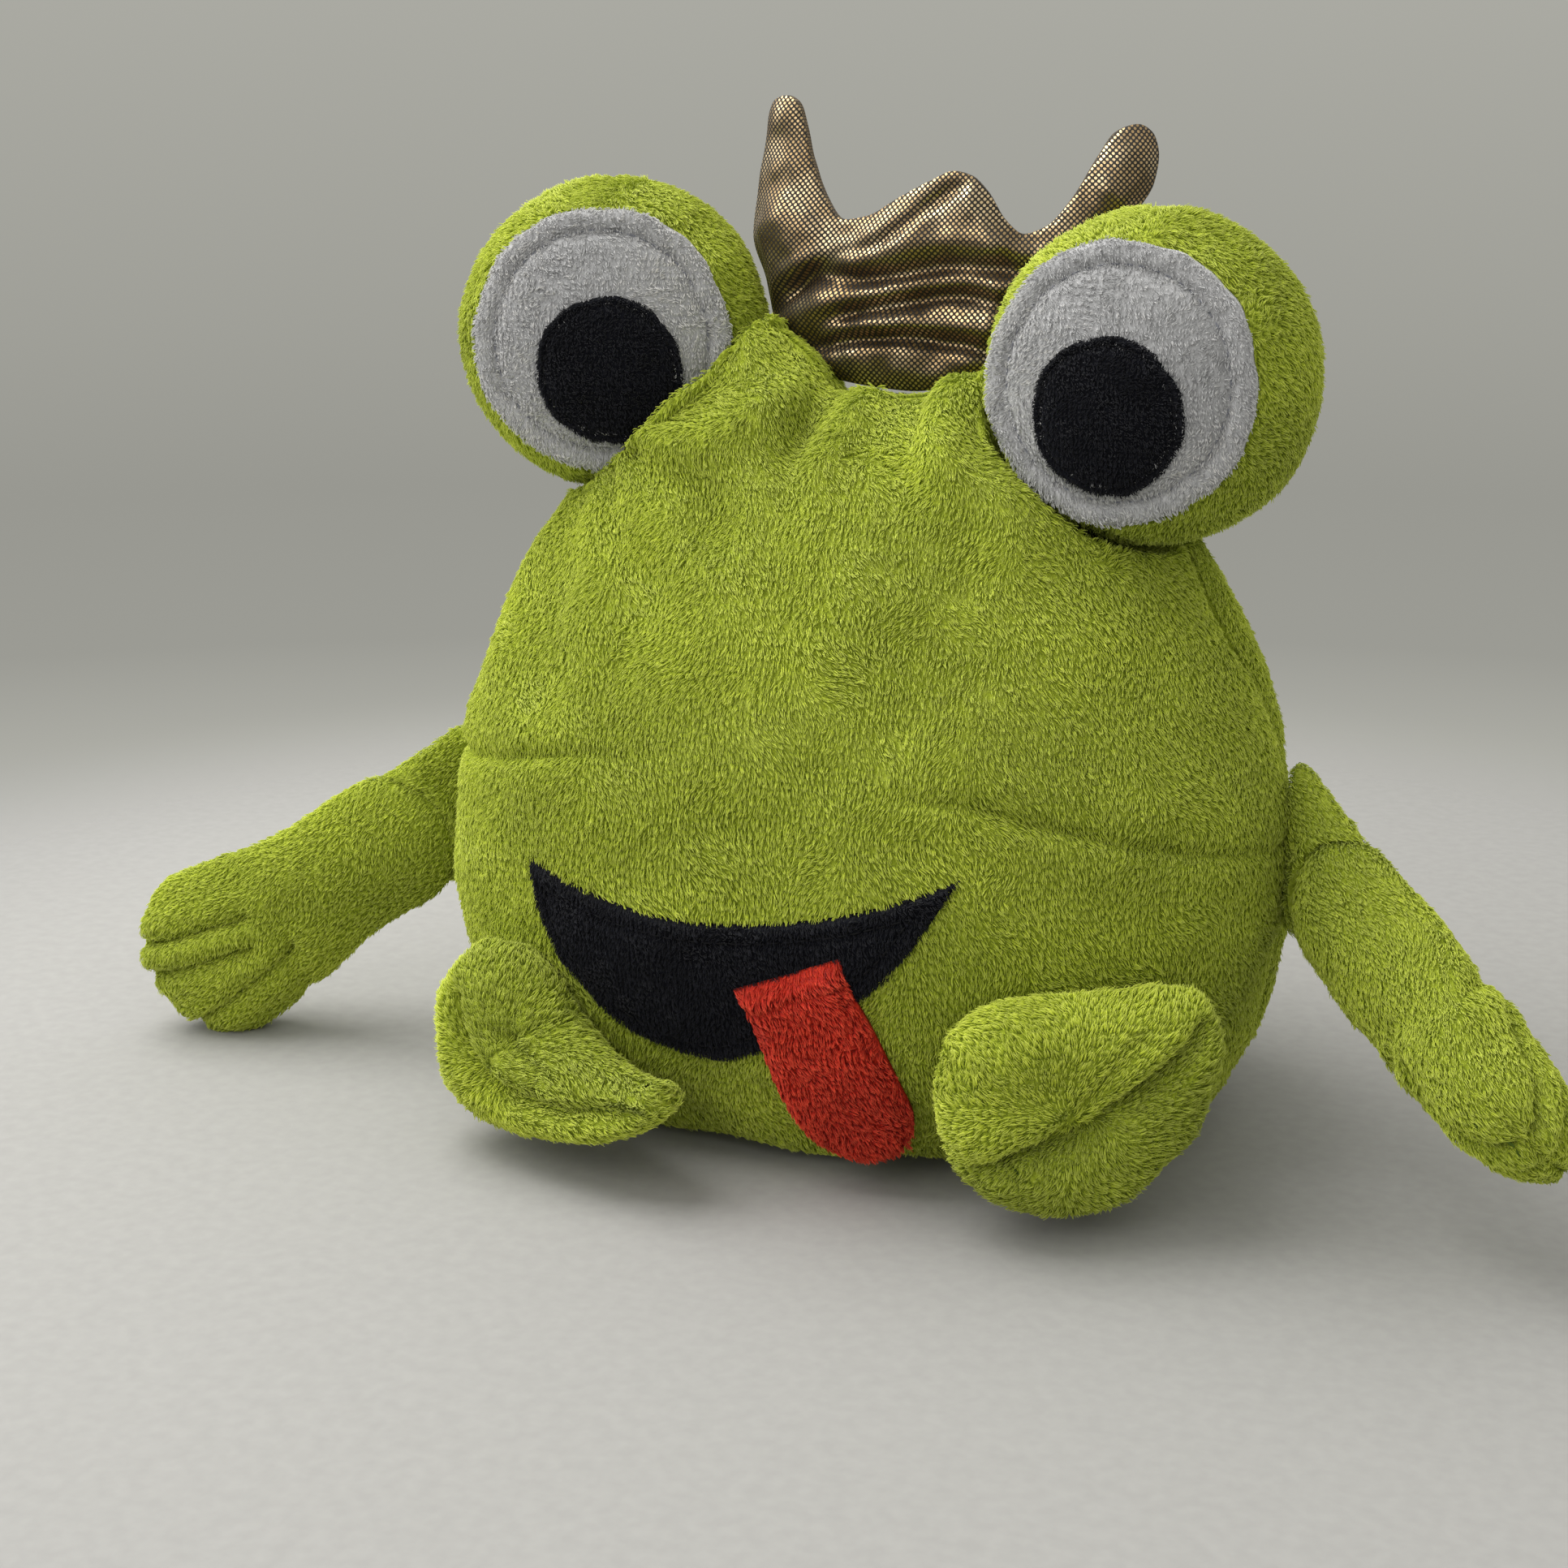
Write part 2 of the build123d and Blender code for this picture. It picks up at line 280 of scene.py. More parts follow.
def pile_material(name, dark, mid, light, tuft=0.0026, depth=0.0009, sheen=0.35, tint=None):
    """Cloth with a soft pile: patches, tufts and single fibres in colour and in relief."""
    g = Graph(name)
    where = g.node("TexCoord").outputs["Object"]
    patch = g.noise(where, 0.028, 3, distortion=0.4)
    tufts = g.noise(where, tuft, 2, stretch=(1.5, 1.5, 0.75), distortion=1.2)
    fibres = g.noise(where, tuft * 0.22, 1, stretch=(1.8, 1.8, 0.5))
    level = g.math("ADD", g.math("MULTIPLY", patch, 0.35), g.math("MULTIPLY", tufts, 0.5))
    level = g.math("ADD", level, g.math("MULTIPLY", fibres, 0.25))
    color = g.ramp(level, [(0.36, dark), (0.55, mid), (0.74, light)])
    height = g.math("ADD", tufts, g.math("MULTIPLY", fibres, 0.35))
    g.set(Sheen_Weight=sheen, Sheen_Roughness=0.45, Specular_IOR_Level=0.15)
    g.shader.inputs["Sheen Tint"].default_value = (*(tint or light), 1)
    return g.finish(color, (tufts, 0.98, 0.78), g.bump(height, depth))


def fibre_material(name, root, mid, tip):
    """The fine hairs of a pile: darker at the root as painted shade deep in the pile, lighter at the tip as
    painted light, with a tint per tuft.
    """
    g = Graph(name)
    along = g.node("HairInfo").outputs["Intercept"]
    tint = g.node("Attribute", attribute_name="tint").outputs["Fac"]
    # painted shade: each hair darkens towards its root, deep in the pile; painted light: it brightens towards
    # its tip
    color = g.ramp(along, [(0.0, root), (0.55, mid), (1.0, tip)])
    shade = g.ramp(tint, [(0.0, (0.55, 0.55, 0.55)), (0.5, (1.0, 1.0, 1.0)), (1.0, (1.45, 1.4, 1.3))])
    color = g.mix(1.0, color, shade, "MULTIPLY")
    g.set(Specular_IOR_Level=0.12, Roughness=0.75, Sheen_Weight=0.15)
    g.link(color, g.shader.inputs["Base Color"])
    return g.material


def foil_material():
    """Black cloth printed with bronze foil dots in a staggered grid."""
    g = Graph("gold_foil_fabric")
    uv = g.node("TexCoord").outputs["UV"]
    mapping = g.node("Mapping")
    mapping.inputs["Rotation"].default_value = (0, 0, radians(45))
    g.link(uv, mapping.inputs["Vector"])
    dots = g.node("TexVoronoi", Scale=1 / 0.00105, Randomness=0.0)
    g.link(mapping.outputs["Vector"], dots.inputs["Vector"])
    wobble = g.noise(uv, 0.0035, 2)
    # random patches of darker and brighter gold: painted shade and painted light standing in for the shaded
    # and lit folds of the foil
    gold_shade_and_light = g.noise(uv, 0.012, 3)
    edge = g.math("ADD", dots.outputs["Distance"], g.math("MULTIPLY", wobble, 0.10))
    foil = g.math("LESS_THAN", edge, 0.385)
    gold = g.ramp(gold_shade_and_light, [(0.3, (0.30, 0.19, 0.08)), (0.5, (0.52, 0.36, 0.18)), (0.7, (0.84, 0.66, 0.40))])
    weave = g.noise(uv, 0.0004, 1)
    cloth = g.ramp(weave, [(0.35, (0.004, 0.003, 0.003)), (0.65, (0.03, 0.022, 0.014))])
    color = g.mix(foil, cloth, gold)
    g.link(g.math("MULTIPLY", foil, 0.92), g.shader.inputs["Metallic"])
    rough = g.node("MapRange")
    g.link(foil, rough.inputs["Value"])
    rough.inputs["To Min"].default_value = 0.75
    rough.inputs["To Max"].default_value = 0.30
    raised = g.math("ADD", g.math("MULTIPLY", foil, 0.6), g.math("MULTIPLY", weave, 0.5))
    return g.finish(color, rough.outputs["Result"], g.bump(raised, 0.00012))


def thread_material(name, color):
    g = Graph(name)
    where = g.node("TexCoord").outputs["Object"]
    strands = g.node("TexWave", Scale=1500.0, Distortion=3.0)
    g.link(where, strands.inputs["Vector"])
    low = tuple(c * 0.5 for c in color)
    high = tuple(min(1, c * 1.5) for c in color)
    g.set(Specular_IOR_Level=0.3)
    shade = g.ramp(strands.outputs["Fac"], [(0.2, low), (0.8, high)])
    return g.finish(shade, (strands.outputs["Fac"], 0.7, 0.45), g.bump(strands.outputs["Fac"], 0.0001))


def woven_material(name, dark, light, pitch=0.0006):
    """Plain woven cloth: two crossed bands of threads."""
    g = Graph(name)
    where = g.node("TexCoord").outputs["Object"]
    bands = []
    for direction in ("X", "Z"):
        band = g.node("TexWave", Scale=1 / pitch / 6, Distortion=0.6, bands_direction=direction)
        g.link(where, band.inputs["Vector"])
        bands.append(band.outputs["Fac"])
    weave = g.math("MULTIPLY", *bands)
    patch = g.noise(where, 0.02, 3)
    level = g.math("ADD", g.math("MULTIPLY", weave, 0.6), g.math("MULTIPLY", patch, 0.4))
    g.set(Sheen_Weight=0.1, Specular_IOR_Level=0.2)
    return g.finish(g.ramp(level, [(0.25, dark), (0.7, light)]), (patch, 0.9, 0.7), g.bump(weave, 0.0003))


GREEN_DARK, GREEN, GREEN_LIGHT = (0.150, 0.200, 0.010), (0.400, 0.480, 0.038), (0.560, 0.640, 0.100)
# GREEN_TIP, lighter than the cloth's green, is painted light on the tips of the green hairs
GREEN_TIP = (0.620, 0.690, 0.130)
green_plush = pile_material("green_plush", GREEN_DARK, GREEN, GREEN_LIGHT)
white_plush = pile_material(
    "white_plush", (0.30, 0.30, 0.31), (0.48, 0.48, 0.49), (0.62, 0.62, 0.63), tuft=0.0016, depth=0.0005
)
black_felt = pile_material(
    "black_felt", (0.001, 0.001, 0.002), (0.003, 0.0034, 0.006), (0.010, 0.011, 0.018),
    tuft=0.0011, depth=0.0004, sheen=0.04, tint=(0.25, 0.28, 0.45),
)
red_plush = pile_material(
    "red_plush", (0.20, 0.005, 0.003), (0.52, 0.024, 0.010), (0.74, 0.075, 0.035), tuft=0.0022, sheen=0.2
)
gold_foil = foil_material()
lining_cloth = woven_material("lining_cloth", (0.05, 0.10, 0.008), (0.20, 0.32, 0.03))
green_thread = thread_material("green_thread", (0.10, 0.17, 0.012))
black_thread = thread_material("black_thread", (0.006, 0.006, 0.008))
white_thread = thread_material("white_thread", (0.34, 0.35, 0.40))
red_thread = thread_material("red_thread", (0.28, 0.008, 0.005))
green_fibre = fibre_material("green_fibre", (0.11, 0.16, 0.006), (0.42, 0.50, 0.036), GREEN_TIP)
white_fibre = fibre_material("white_fibre", (0.30, 0.30, 0.31), (0.52, 0.52, 0.53), (0.72, 0.72, 0.72))
black_fibre = fibre_material(
    "black_fibre", (0.001, 0.001, 0.0015), (0.003, 0.0033, 0.006), (0.011, 0.012, 0.021)
)
red_fibre = fibre_material("red_fibre", (0.16, 0.003, 0.002), (0.56, 0.026, 0.012), (0.86, 0.10, 0.045))


# ---------------------------------------------------------------------------------- pile
def grid_normals(p, closed):
    """Outward normals of a grid of points, by differences between neighbours."""
    du = np.gradient(p, axis=0)
    if closed:
        dv = (np.roll(p, -1, 1) - np.roll(p, 1, 1)) / 2
    else:
        dv = np.gradient(p, axis=1)
    return unit(np.cross(dv, du))


def scatter(points, normals, faces, density, rng, mask=None):
    """Random points spread evenly over faces of three or four corners, with their normals."""
    quads = np.array([(*f, f[-1])[:4] for f in faces])
    flat = quads[:, 2] == quads[:, 3]
    a, b, c, d = (points[quads[:, k]] for k in range(4))
    area = 0.5 * np.linalg.norm(np.cross(c - a, d - b), axis=1)
    if mask is not None:
        area = area * mask
    count = int(area.sum() * density)
    pick = rng.choice(len(area), count, p=area / area.sum())
    s, t = rng.random((2, count, 1))
    t = np.where(flat[pick][:, None], 1 - np.sqrt(1 - t), t)
    corners = quads[pick]

    def blend(f):
        a, b, c, d = (f[corners[:, k]] for k in range(4))
        return (a * (1 - s) + b * s) * (1 - t) + (d * (1 - s) + c * s) * t

    return blend(points), unit(blend(normals))


def pile(name, parent, p, n, material, density, length, closed=True, comb=(0, 0, -1), tuft=2.4,
         lean=0.9, radius=0.11, swirl=14.0, seed=0, mask=None, bright=0.0, faces=None):
    """Fine hairs combed along a surface and drawn together in tufts. They ride on the piece."""
    rng = np.random.default_rng(SEED + seed)
    faces = faces or grid_faces(*p.shape[:2], closed)
    mask = None if mask is None else np.ravel(mask)
    root, up = scatter(p.reshape(-1, 3), n.reshape(-1, 3), faces, density, rng, mask)
    count = len(root)
    cell = np.floor(root / tuft + 0.35 * np.stack(
        [noise(root, tuft * 1.7, seed + 31 * k) for k in range(3)], 1)).astype(np.int64)
    chance = np.stack([lattice(*cell.T, seed + 7 * k) for k in range(6)], 1)
    centre = (cell + 0.2 + 0.6 * chance[:, :3]) * tuft
    comb = comb(root) if callable(comb) else np.asarray(comb, float)
    flow = comb + 0.75 * np.stack([noise(root, swirl, seed + 51 + 9 * k) for k in range(3)], 1)
    flow = flow + 0.38 * (chance[:, 3:6] - 0.5)
    flow = unit(flow - up * np.sum(flow * up, 1, keepdims=True))
    pull = centre - root
    pull = pull - up * np.sum(pull * up, 1, keepdims=True)
    reach = (length * (0.75 + 0.35 * chance[:, 0]) * rng.uniform(0.75, 1.1, count))[:, None]
    tilt = (lean * (0.75 + 0.5 * chance[:, 1]))[:, None] + 0.12 * rng.normal(size=(count, 1))
    stray = unit(rng.normal(size=(count, 3))) * 0.10 * reach
    points = np.empty((count, 4, 3))
    for k, s in enumerate((0.0, 0.36, 0.7, 1.0)):
        angle = tilt * s ** 0.7
        points[:, k] = (
            root + reach * s * (up * np.cos(angle) + flow * np.sin(angle))
            + pull * 0.40 * s ** 1.3 + stray * s ** 2
        )
    points[:, 0] -= up * 0.3
    curves = bpy.data.hair_curves.new(name)
    curves.add_curves([4] * count)
    curves.position_data.foreach_set("vector", (points * MM).ravel())
    thick = np.tile(np.array([1.0, 0.95, 0.75, 0.3]) * radius * MM, (count, 1))
    curves.attributes.new("radius", "FLOAT", "POINT").data.foreach_set("value", thick.ravel())
    # bright raises or lowers each hair's tint; on the feet it carries painted light on the lobe and painted
    # shade on the lower lip
    bright = bright(root) if callable(bright) else bright
    patch = 0.5 + 0.18 * noise(root, 22, seed + 3) + 0.22 * (chance[:, 2] - 0.5) + bright
    tint = np.clip(patch + 0.10 * rng.normal(size=count), 0, 1)
    curves.attributes.new("tint", "FLOAT", "CURVE").data.foreach_set("value", tint)
    curves.materials.append(material)
    obj = bpy.data.objects.new(name, curves)
    bpy.context.scene.collection.objects.link(obj)
    obj.parent = parent
    return obj


# ---------------------------------------------------------------------------------- body shape
def curve(xs, ys, x):
    """A smooth curve through points that never overshoots them (monotone cubic)."""
    xs, ys, x = (np.asarray(v, float) for v in (xs, ys, x))
    h, d = np.diff(xs), np.diff(ys) / np.diff(xs)
    m = np.zeros_like(ys)
    same = d[:-1] * d[1:] > 0
    w1, w2 = 2 * h[1:] + h[:-1], h[1:] + 2 * h[:-1]
    m[1:-1][same] = ((w1 + w2) / (w1 / np.where(same, d[:-1], 1) + w2 / np.where(same, d[1:], 1)))[same]
    m[0], m[-1] = d[0], d[-1]
    k = np.clip(np.searchsorted(xs, x) - 1, 0, len(h) - 1)
    t = (x - xs[k]) / h[k]
    return (
        ys[k] * (1 + 2 * t) * (1 - t) ** 2 + m[k] * h[k] * t * (1 - t) ** 2
        + ys[k + 1] * t * t * (3 - 2 * t) + m[k + 1] * h[k] * t * t * (t - 1)
    )


# height, half width and half depth of the plush skin; the last row is the seam along the top
BODY_PROFILE = np.array([
    (1.0, 80, 53), (4, 88, 59), (9, 95, 64.5), (18, 101, 70.5), (30, 106.5, 75.5), (45, 110, 79),
    (62, 112, 81), (80, 111.5, 80.5), (98, 108.5, 77.5), (114, 103.5, 72.5), (130, 96, 65),
    (145, 87.5, 55.5), (158, 78.5, 46), (168, 69, 37.5), (176, 59, 29), (182, 48, 20), (186, 38, 11),
    (187.5, 31, 0.3),
])
SQUARENESS = 2.2
SEAM_PINCH = 1.8
CREASE = ((-101, 92), (-3, 105), (103, 84))      # the fold across the belly, as (x, height)


def body_grid(front, rows=170, columns=210):
    """One body panel from the base seam to the top seam, with its folds, lumps and seams."""
    # rows are spaced by distance along the profile's outline
    fine = np.linspace(0, 1, 600)
    order = np.linspace(0, 1, len(BODY_PROFILE))
    profile = np.stack([curve(order, BODY_PROFILE[:, k], fine) for k in range(3)], 1)
    run = np.concatenate([[0], np.cumsum(np.linalg.norm(np.diff(profile, axis=0), axis=1))])
    at = np.interp(np.linspace(0, run[-1], rows), run, fine)
    z, a, b = (np.interp(at, fine, profile[:, k])[:, None] for k in range(3))
    phi = np.linspace(pi, 2 * pi, columns) if front else np.linspace(0, pi, columns)
    c, s = np.cos(phi)[None], np.sin(phi)[None]
    x = a * np.sign(c) * np.abs(c) ** (2 / SQUARENESS)
    y = b * np.sign(s) * np.abs(s) ** (2 / SQUARENESS)
    p = np.stack([x, y, z + 0 * x], -1)
    # the top seam rises towards both eyes, more towards the frog's right one
    lift = 15.5 * smooth(4, 34, -p[..., 0]) + 6 * smooth(8, 36, p[..., 0])
    dip = 1.5 * bump(p[..., 0], 6, 14)
    p[..., 2] += lift * smooth(150, 186, p[..., 2]) - dip * smooth(165, 186, p[..., 2])
    n = grid_normals(p, False)
    n *= np.sign(np.sum(n[rows // 2, columns // 2] * (p[rows // 2, columns // 2] * (1, 1, 0))))
    x, y, z = (p[..., k] for k in range(3))
    push = 2.4 * fbm(p, 46, 2, 5 if front else 6) + 0.55 * fbm(p, 15, 2, 8)
    seam = np.minimum(np.abs(phi - phi[0]), np.abs(phi - phi[-1]))[None] * np.maximum(a, 20)
    push = push - SEAM_PINCH * bump(seam, 0, 3.2) + 0.4 * bump(seam, 10, 5)
    push = push - 1.6 * bump(z, 0, 3.5)
    top = smooth(135, 182, z)
    if front:
        fold = np.polyval(np.polyfit(*np.array(CREASE).T, 2), x) + 1.2 * noise(p * (1, 0, 0), 16, 4)
        strength = smooth(28, 62, np.abs(x + 6)) * (1 - smooth(99, 108, np.abs(x)) * 0.4)
        push -= 2.2 * strength * bump(z, fold, 1.7)
        push += 1.1 * strength * (bump(z, fold + 7, 6) + 0.7 * bump(z, fold - 6, 5))
        phase = x / 3.9 + 1.8 * noise(p * (1, 0, 0.35), 17, 21) + 0.02 * (z - 150)
        middle = 1 - smooth(26, 52, np.abs(x - 2))
        push += top * middle * 2.2 * np.sin(phase)
        # wide folds fan out from the foot of the crown
        ray = np.arctan2(x - 10, 200 - z)
        reach = bump(np.hypot(x - 10, z - 196), 34, 22) * (1 - 0.6 * middle)
        push += 3.4 * reach * np.sin(10.5 * ray + 1.2 * noise(p, 26, 37))
        # gathers under the frog's right eye fan out down and outwards
        fan = np.arctan2(x + 66, 178 - z)
        reach = bump(np.hypot(x + 62, z - 158), 26, 20)
        push += 2.1 * reach * np.sin(9.5 * fan + 1.4 * noise(p, 20, 33))
        # slanting folds at the foot of the belly on the frog's right
        slant = (x * 0.55 + z) / 4.1
        low = bump(z, 16, 13) * smooth(-62, -30, x) * (1 - smooth(10, 40, x))
        push += 1.9 * low * np.sin(slant + 1.5 * noise(p, 24, 41))
    else:
        phase = x / 5.2 + 1.6 * noise(p * (1, 0, 0.4), 20, 25)
        push += top * (1 - smooth(30, 60, np.abs(x))) * 1.4 * np.sin(phase)
        fold = 62 + 0.0016 * x ** 2 + 3 * noise(p * (1, 0, 0), 30, 44)
        push -= 1.3 * smooth(20, 60, np.abs(x)) * bump(z, fold, 2.2)
    edge = smooth(0, 4, seam)
    push = push * np.where(push > 0, edge, 1)
    p = p + n * push[..., None]
    p[..., 2] = np.maximum(p[..., 2], 0.5)
    if front:
        p[..., 1] = np.minimum(p[..., 1], -0.15)
    else:
        p[..., 1] = np.maximum(p[..., 1], 0.15)
    return p


def shell(name, p, n, thickness, material, closed=False):
    """A closed sheet with real thickness, laid inwards from a grid of outer points along its normals."""
    return two_sided(name, p, p - n * thickness, material, closed)


def two_sided(name, top, bottom, material, closed=False):
    """A closed pad or sheet from two grids, joined round their open edges."""
    rows, columns = top.shape[:2]
    points = np.concatenate([top.reshape(-1, 3), bottom.reshape(-1, 3)])
    size = rows * columns
    faces = grid_faces(rows, columns, closed)
    faces += grid_faces(rows, columns, closed, size, flip=True)
    if closed:
        rims = [[row * columns + j for j in range(columns)] for row in (0, rows - 1)]
    else:
        rim = list(range(columns)) + [i * columns + columns - 1 for i in range(1, rows)]
        rim += [(rows - 1) * columns + j for j in range(columns - 2, -1, -1)]
        rims = [rim + [i * columns for i in range(rows - 2, 0, -1)]]
    for rim in rims:
        faces += [(b, a, a + size, b + size) for a, b in zip(rim, rim[1:] + rim[:1])]
    obj = make_object(name, points, faces, material)
    fix_normals(obj)
    return obj


def fix_normals(obj):
    mesh = bmesh.new()
    mesh.from_mesh(obj.data)
    bmesh.ops.remove_doubles(mesh, verts=mesh.verts, dist=1e-6)
    bmesh.ops.recalc_face_normals(mesh, faces=mesh.faces)
    mesh.to_mesh(obj.data)
    mesh.free()
    obj.data.update()


def closed_grid_object(name, p, material):
    """A closed piece from a grid of rings, with a flat cap on its first and last ring."""
    rows, columns = p.shape[:2]
    faces = grid_faces(rows, columns, True)
    faces.append(tuple(range(columns)))
    faces.append(tuple(range((rows - 1) * columns, rows * columns))[::-1])
    obj = make_object(name, p, faces, material)
    fix_normals(obj)
    return obj


def two_layers(name, points, faces, ring, material, uv=None):
    """A closed pad from two layers of the same triangles, joined round their edge."""
    count = len(points) // 2
    faces = faces + [tuple(i + count for i in f[::-1]) for f in faces]
    faces += [(a, b, b + count, a + count) for a, b in zip(ring, ring[1:] + ring[:1])]
    obj = make_object(name, points, faces, material, uv)
    fix_normals(obj)
    return obj


def outwards(p, closed, centre):
    """Grid normals that point away from a centre."""
    n = grid_normals(p, closed)
    middle = n[p.shape[0] // 2, p.shape[1] // 2] @ (p[p.shape[0] // 2, p.shape[1] // 2] - np.array(centre))
    return n if middle > 0 else -n


POCKET_R = 43.6
EYE_CENTRES = ((-72, 4, 198), (74, -6, 193.5))


def pocketed(p, n):
    """Where the body would run through an eye's ball, it is laid round the ball instead."""
    for centre in EYE_CENTRES:
        away = p - np.array(centre, float)
        reach = np.linalg.norm(away, axis=-1, keepdims=True)
        # in front of an eye the sheet's own thickness lies between it and the eye
        facing = np.sum(n * away, axis=-1, keepdims=True) / reach
        limit = POCKET_R + 2.1 * smooth(-0.2, 0.4, facing)
        p = np.where(reach < limit, centre + away / reach * limit, p)
    return p


def body_panel(name, front):
    """A body panel: its outer points, their normals and the sheet made from them."""
    p = body_grid(front)
    p = pocketed(p, outwards(p, False, BODY_CENTRE))
    n = outwards(p, False, BODY_CENTRE)
    return p, n, shell(name, p, n, 2.0, green_plush)


BODY_CENTRE = (0, 0, 80)
front_grid, front_normals, body_front = body_panel("body_front", True)
back_grid, back_normals, body_back = body_panel("body_back", False)


def front_surface(x, z):
    """Where a line along +Y at (x, z) meets the front panel, and the panel's normal there."""
    hit, normal, _, _ = front_surface.tree.ray_cast(Vector((x, -200, z)), Vector((0, 1, 0)))
    if hit is None:
        hit, normal, _, _ = front_surface.tree.find_nearest(Vector((x, -70, z)))
    return np.array(hit), np.array(normal)


def tree_of(grids):
    """A search tree over the quads of open grids, in millimetres."""
    points, faces = [], []
    for p in grids:
        faces += grid_faces(*p.shape[:2], False, len(points))
        points += [tuple(v) for v in p.reshape(-1, 3)]
    return BVHTree.FromPolygons(points, faces)


front_surface.tree = tree_of([front_grid])


# ---------------------------------------------------------------------------------- base, hem, lining
OPENING_R, HEM_WALL, HEM_HEIGHT = 40.0, 4.0, 12.0
AROUND = 160


def ring_points(a, b, z, count=AROUND, power=2.0):
    t = np.arange(count) * 2 * pi / count
    x, y = np.cos(t), np.sin(t)
    return np.stack([
        a * np.sign(x) * np.abs(x) ** (2 / power), b * np.sign(y) * np.abs(y) ** (2 / power), z + 0 * t
    ], 1)


def outwards_down(p):
    return np.broadcast_to(np.array([0.0, 0.0, -1.0]), p.shape)


def make_base():
    """The base panel: a flat oval of plush sewn to the sides, with the round hand opening."""
    inner = OPENING_R + HEM_WALL - 1.5
    steps = 26
    rows = []
    for k in range(steps + 1):
        s = k / steps
        a, b = (edge * (1 - s) + inner * s for edge in (BODY_PROFILE[0][1] + 0.8, BODY_PROFILE[0][2] + 0.8))
        # rests flat, but tucks up a little at the outer seam and at the hem
        rise = 0.9 + 1.4 * bump(s, 0, 0.05) + 1.0 * bump(s, 1, 0.06)
        rows.append(ring_points(a, b, rise, power=SQUARENESS * (1 - s) + 2.0 * s))
    p = np.array(rows)
    p[..., 2] += 0.25 * (1 + noise(p, 13, 3))
    p = p[::-1]
    base = shell("base_panel", p, outwards_down(p), 2.0, green_plush, closed=True)
    attach(base, "body", "green_plush", "body_base_panel")
    pile("base_pile", base, p, outwards_down(p), green_fibre, 1.2, 2.0, comb=(0, 1, 0), seed=70)

    # the hem is a folded band round the opening
    profile = []
    half, wall = HEM_HEIGHT / 2, HEM_WALL / 2
    for k in range(28):
        t = 2 * pi * k / 28
        c, s = cos(t), sin(t)
        profile.append((wall * np.sign(c) * abs(c) ** 0.55, half * np.sign(s) * abs(s) ** 0.5))
    rows = []
    for k in range(AROUND):
        t = 2 * pi * k / AROUND
        ripple = 0.22 * sin(23 * t) + 0.18 * sin(41 * t + 1)
        reach = OPENING_R + wall
        rows.append([
            ((reach + dx + ripple) * cos(t), (reach + dx + ripple) * sin(t), half + dz + 0.5)
            for dx, dz in profile
        ])
    faces, columns = [], len(profile)
    for i in range(AROUND):
        for j in range(columns):
            a, b, k = i * columns, (i + 1) % AROUND * columns, (j + 1) % columns
            faces.append((b + j, b + k, a + k, a + j))
    hem = make_object("opening_hem_band", rows, faces, green_plush)
    fix_normals(hem)
    attach(hem, "body", "green_plush", "opening_hem")
    t = np.linspace(0, 2 * pi, 500)
    run = np.stack([(OPENING_R - 0.1) * np.cos(t), (OPENING_R - 0.1) * np.sin(t), 9.2 + 0 * t], 1)
    stitches = stitch_object("opening_hem_stitches", [(run, -run * (1, 1, 0))], 0.32, 2.6, 0.7, green_thread)
    attach(stitches, "body", "green_thread")

    # the lining is a round-topped pocket of woven cloth
    levels = np.array([
        (11, 42.5, 42.5), (20, 46, 41), (30, 49.5, 39.5), (55, 52, 38.5), (75, 52.5, 36.5), (95, 51, 33.6),
        (110, 48.5, 30.5), (125, 42, 25.5), (138, 33, 19.5), (146, 21, 13), (149.2, 1, 0.8),
    ])
    z = np.concatenate([np.linspace(11, 138, 70), 138 + 11.2 * np.sin(np.linspace(0.08, 1, 16) * pi / 2)])
    a, b = (curve(levels[:, 0], levels[:, k], z) for k in (1, 2))
    p = np.array([ring_points(a[k], b[k], z[k]) for k in range(len(z))])
    n = outwards(p, True, (0, 0, 75))
    wave = 0.9 * fbm(p, 26, 2, 91) - 0.5
    p = p + n * (np.minimum(wave, 0.2) * smooth(11, 24, p[..., 2]))[..., None]
    lining = shell("hand_lining_pocket", p, outwards(p, True, (0, 0, 75)), 0.9, lining_cloth, closed=True)
    attach(lining, "body", "lining_cloth", "hand_lining")


# ---------------------------------------------------------------------------------- mouth
MOUTH_RIGHT, MOUTH_LEFT, MOUTH_UPPER = (-66.0, 75.0), (47.5, 83.8), (-9.0, 68.2)
MOUTH_LOWER = ((-66.0, 75.0), (-63.5, 63.0), (-58.6, 53.5), (-48.5, 43.8), (-38.8, 36.6), (-26.0, 32.2),
               (-14.0, 31.0), (-3.0, 34.5), (12.0, 44.0), (27.4, 55.0), (38.0, 68.0), (47.5, 83.8))


def polyline(points, count):
    """Evenly spaced points along a smooth run through the given points."""
    points = np.array(points, float)
    along = np.concatenate([[0], np.cumsum(np.linalg.norm(np.diff(points, axis=0), axis=1))])
    s = np.linspace(0, along[-1], count)
    return np.stack([curve(along, points[:, k], s) for k in range(points.shape[1])], 1)


def edge_distance(points, path, closed=True):
    """Distance from each 2-D point to an outline, or to an open path, given by its points."""
    a = np.asarray(path, float)
    best = np.full(len(points), 1e9)
    for p0, p1 in zip(a, np.roll(a, -1, 0) if closed else a[1:]):
        d = p1 - p0
        t = np.clip(((points - p0) @ d) / max(d @ d, 1e-9), 0, 1)
        best = np.minimum(best, np.linalg.norm(points - p0 - t[:, None] * d, axis=1))
    return best


def laid_on_front(flat, height):
    """Points of a flat drawing (x, z) laid on the belly at a height above it, with normals."""
    found = [front_surface(x, z) for x, z in flat]
    base = np.array([f[0] for f in found])
    normal = np.array([f[1] for f in found])
    normal *= np.where(normal[:, 1:2] > 0, -1, 1)
    return base + normal * np.asarray(height)[:, None], normal


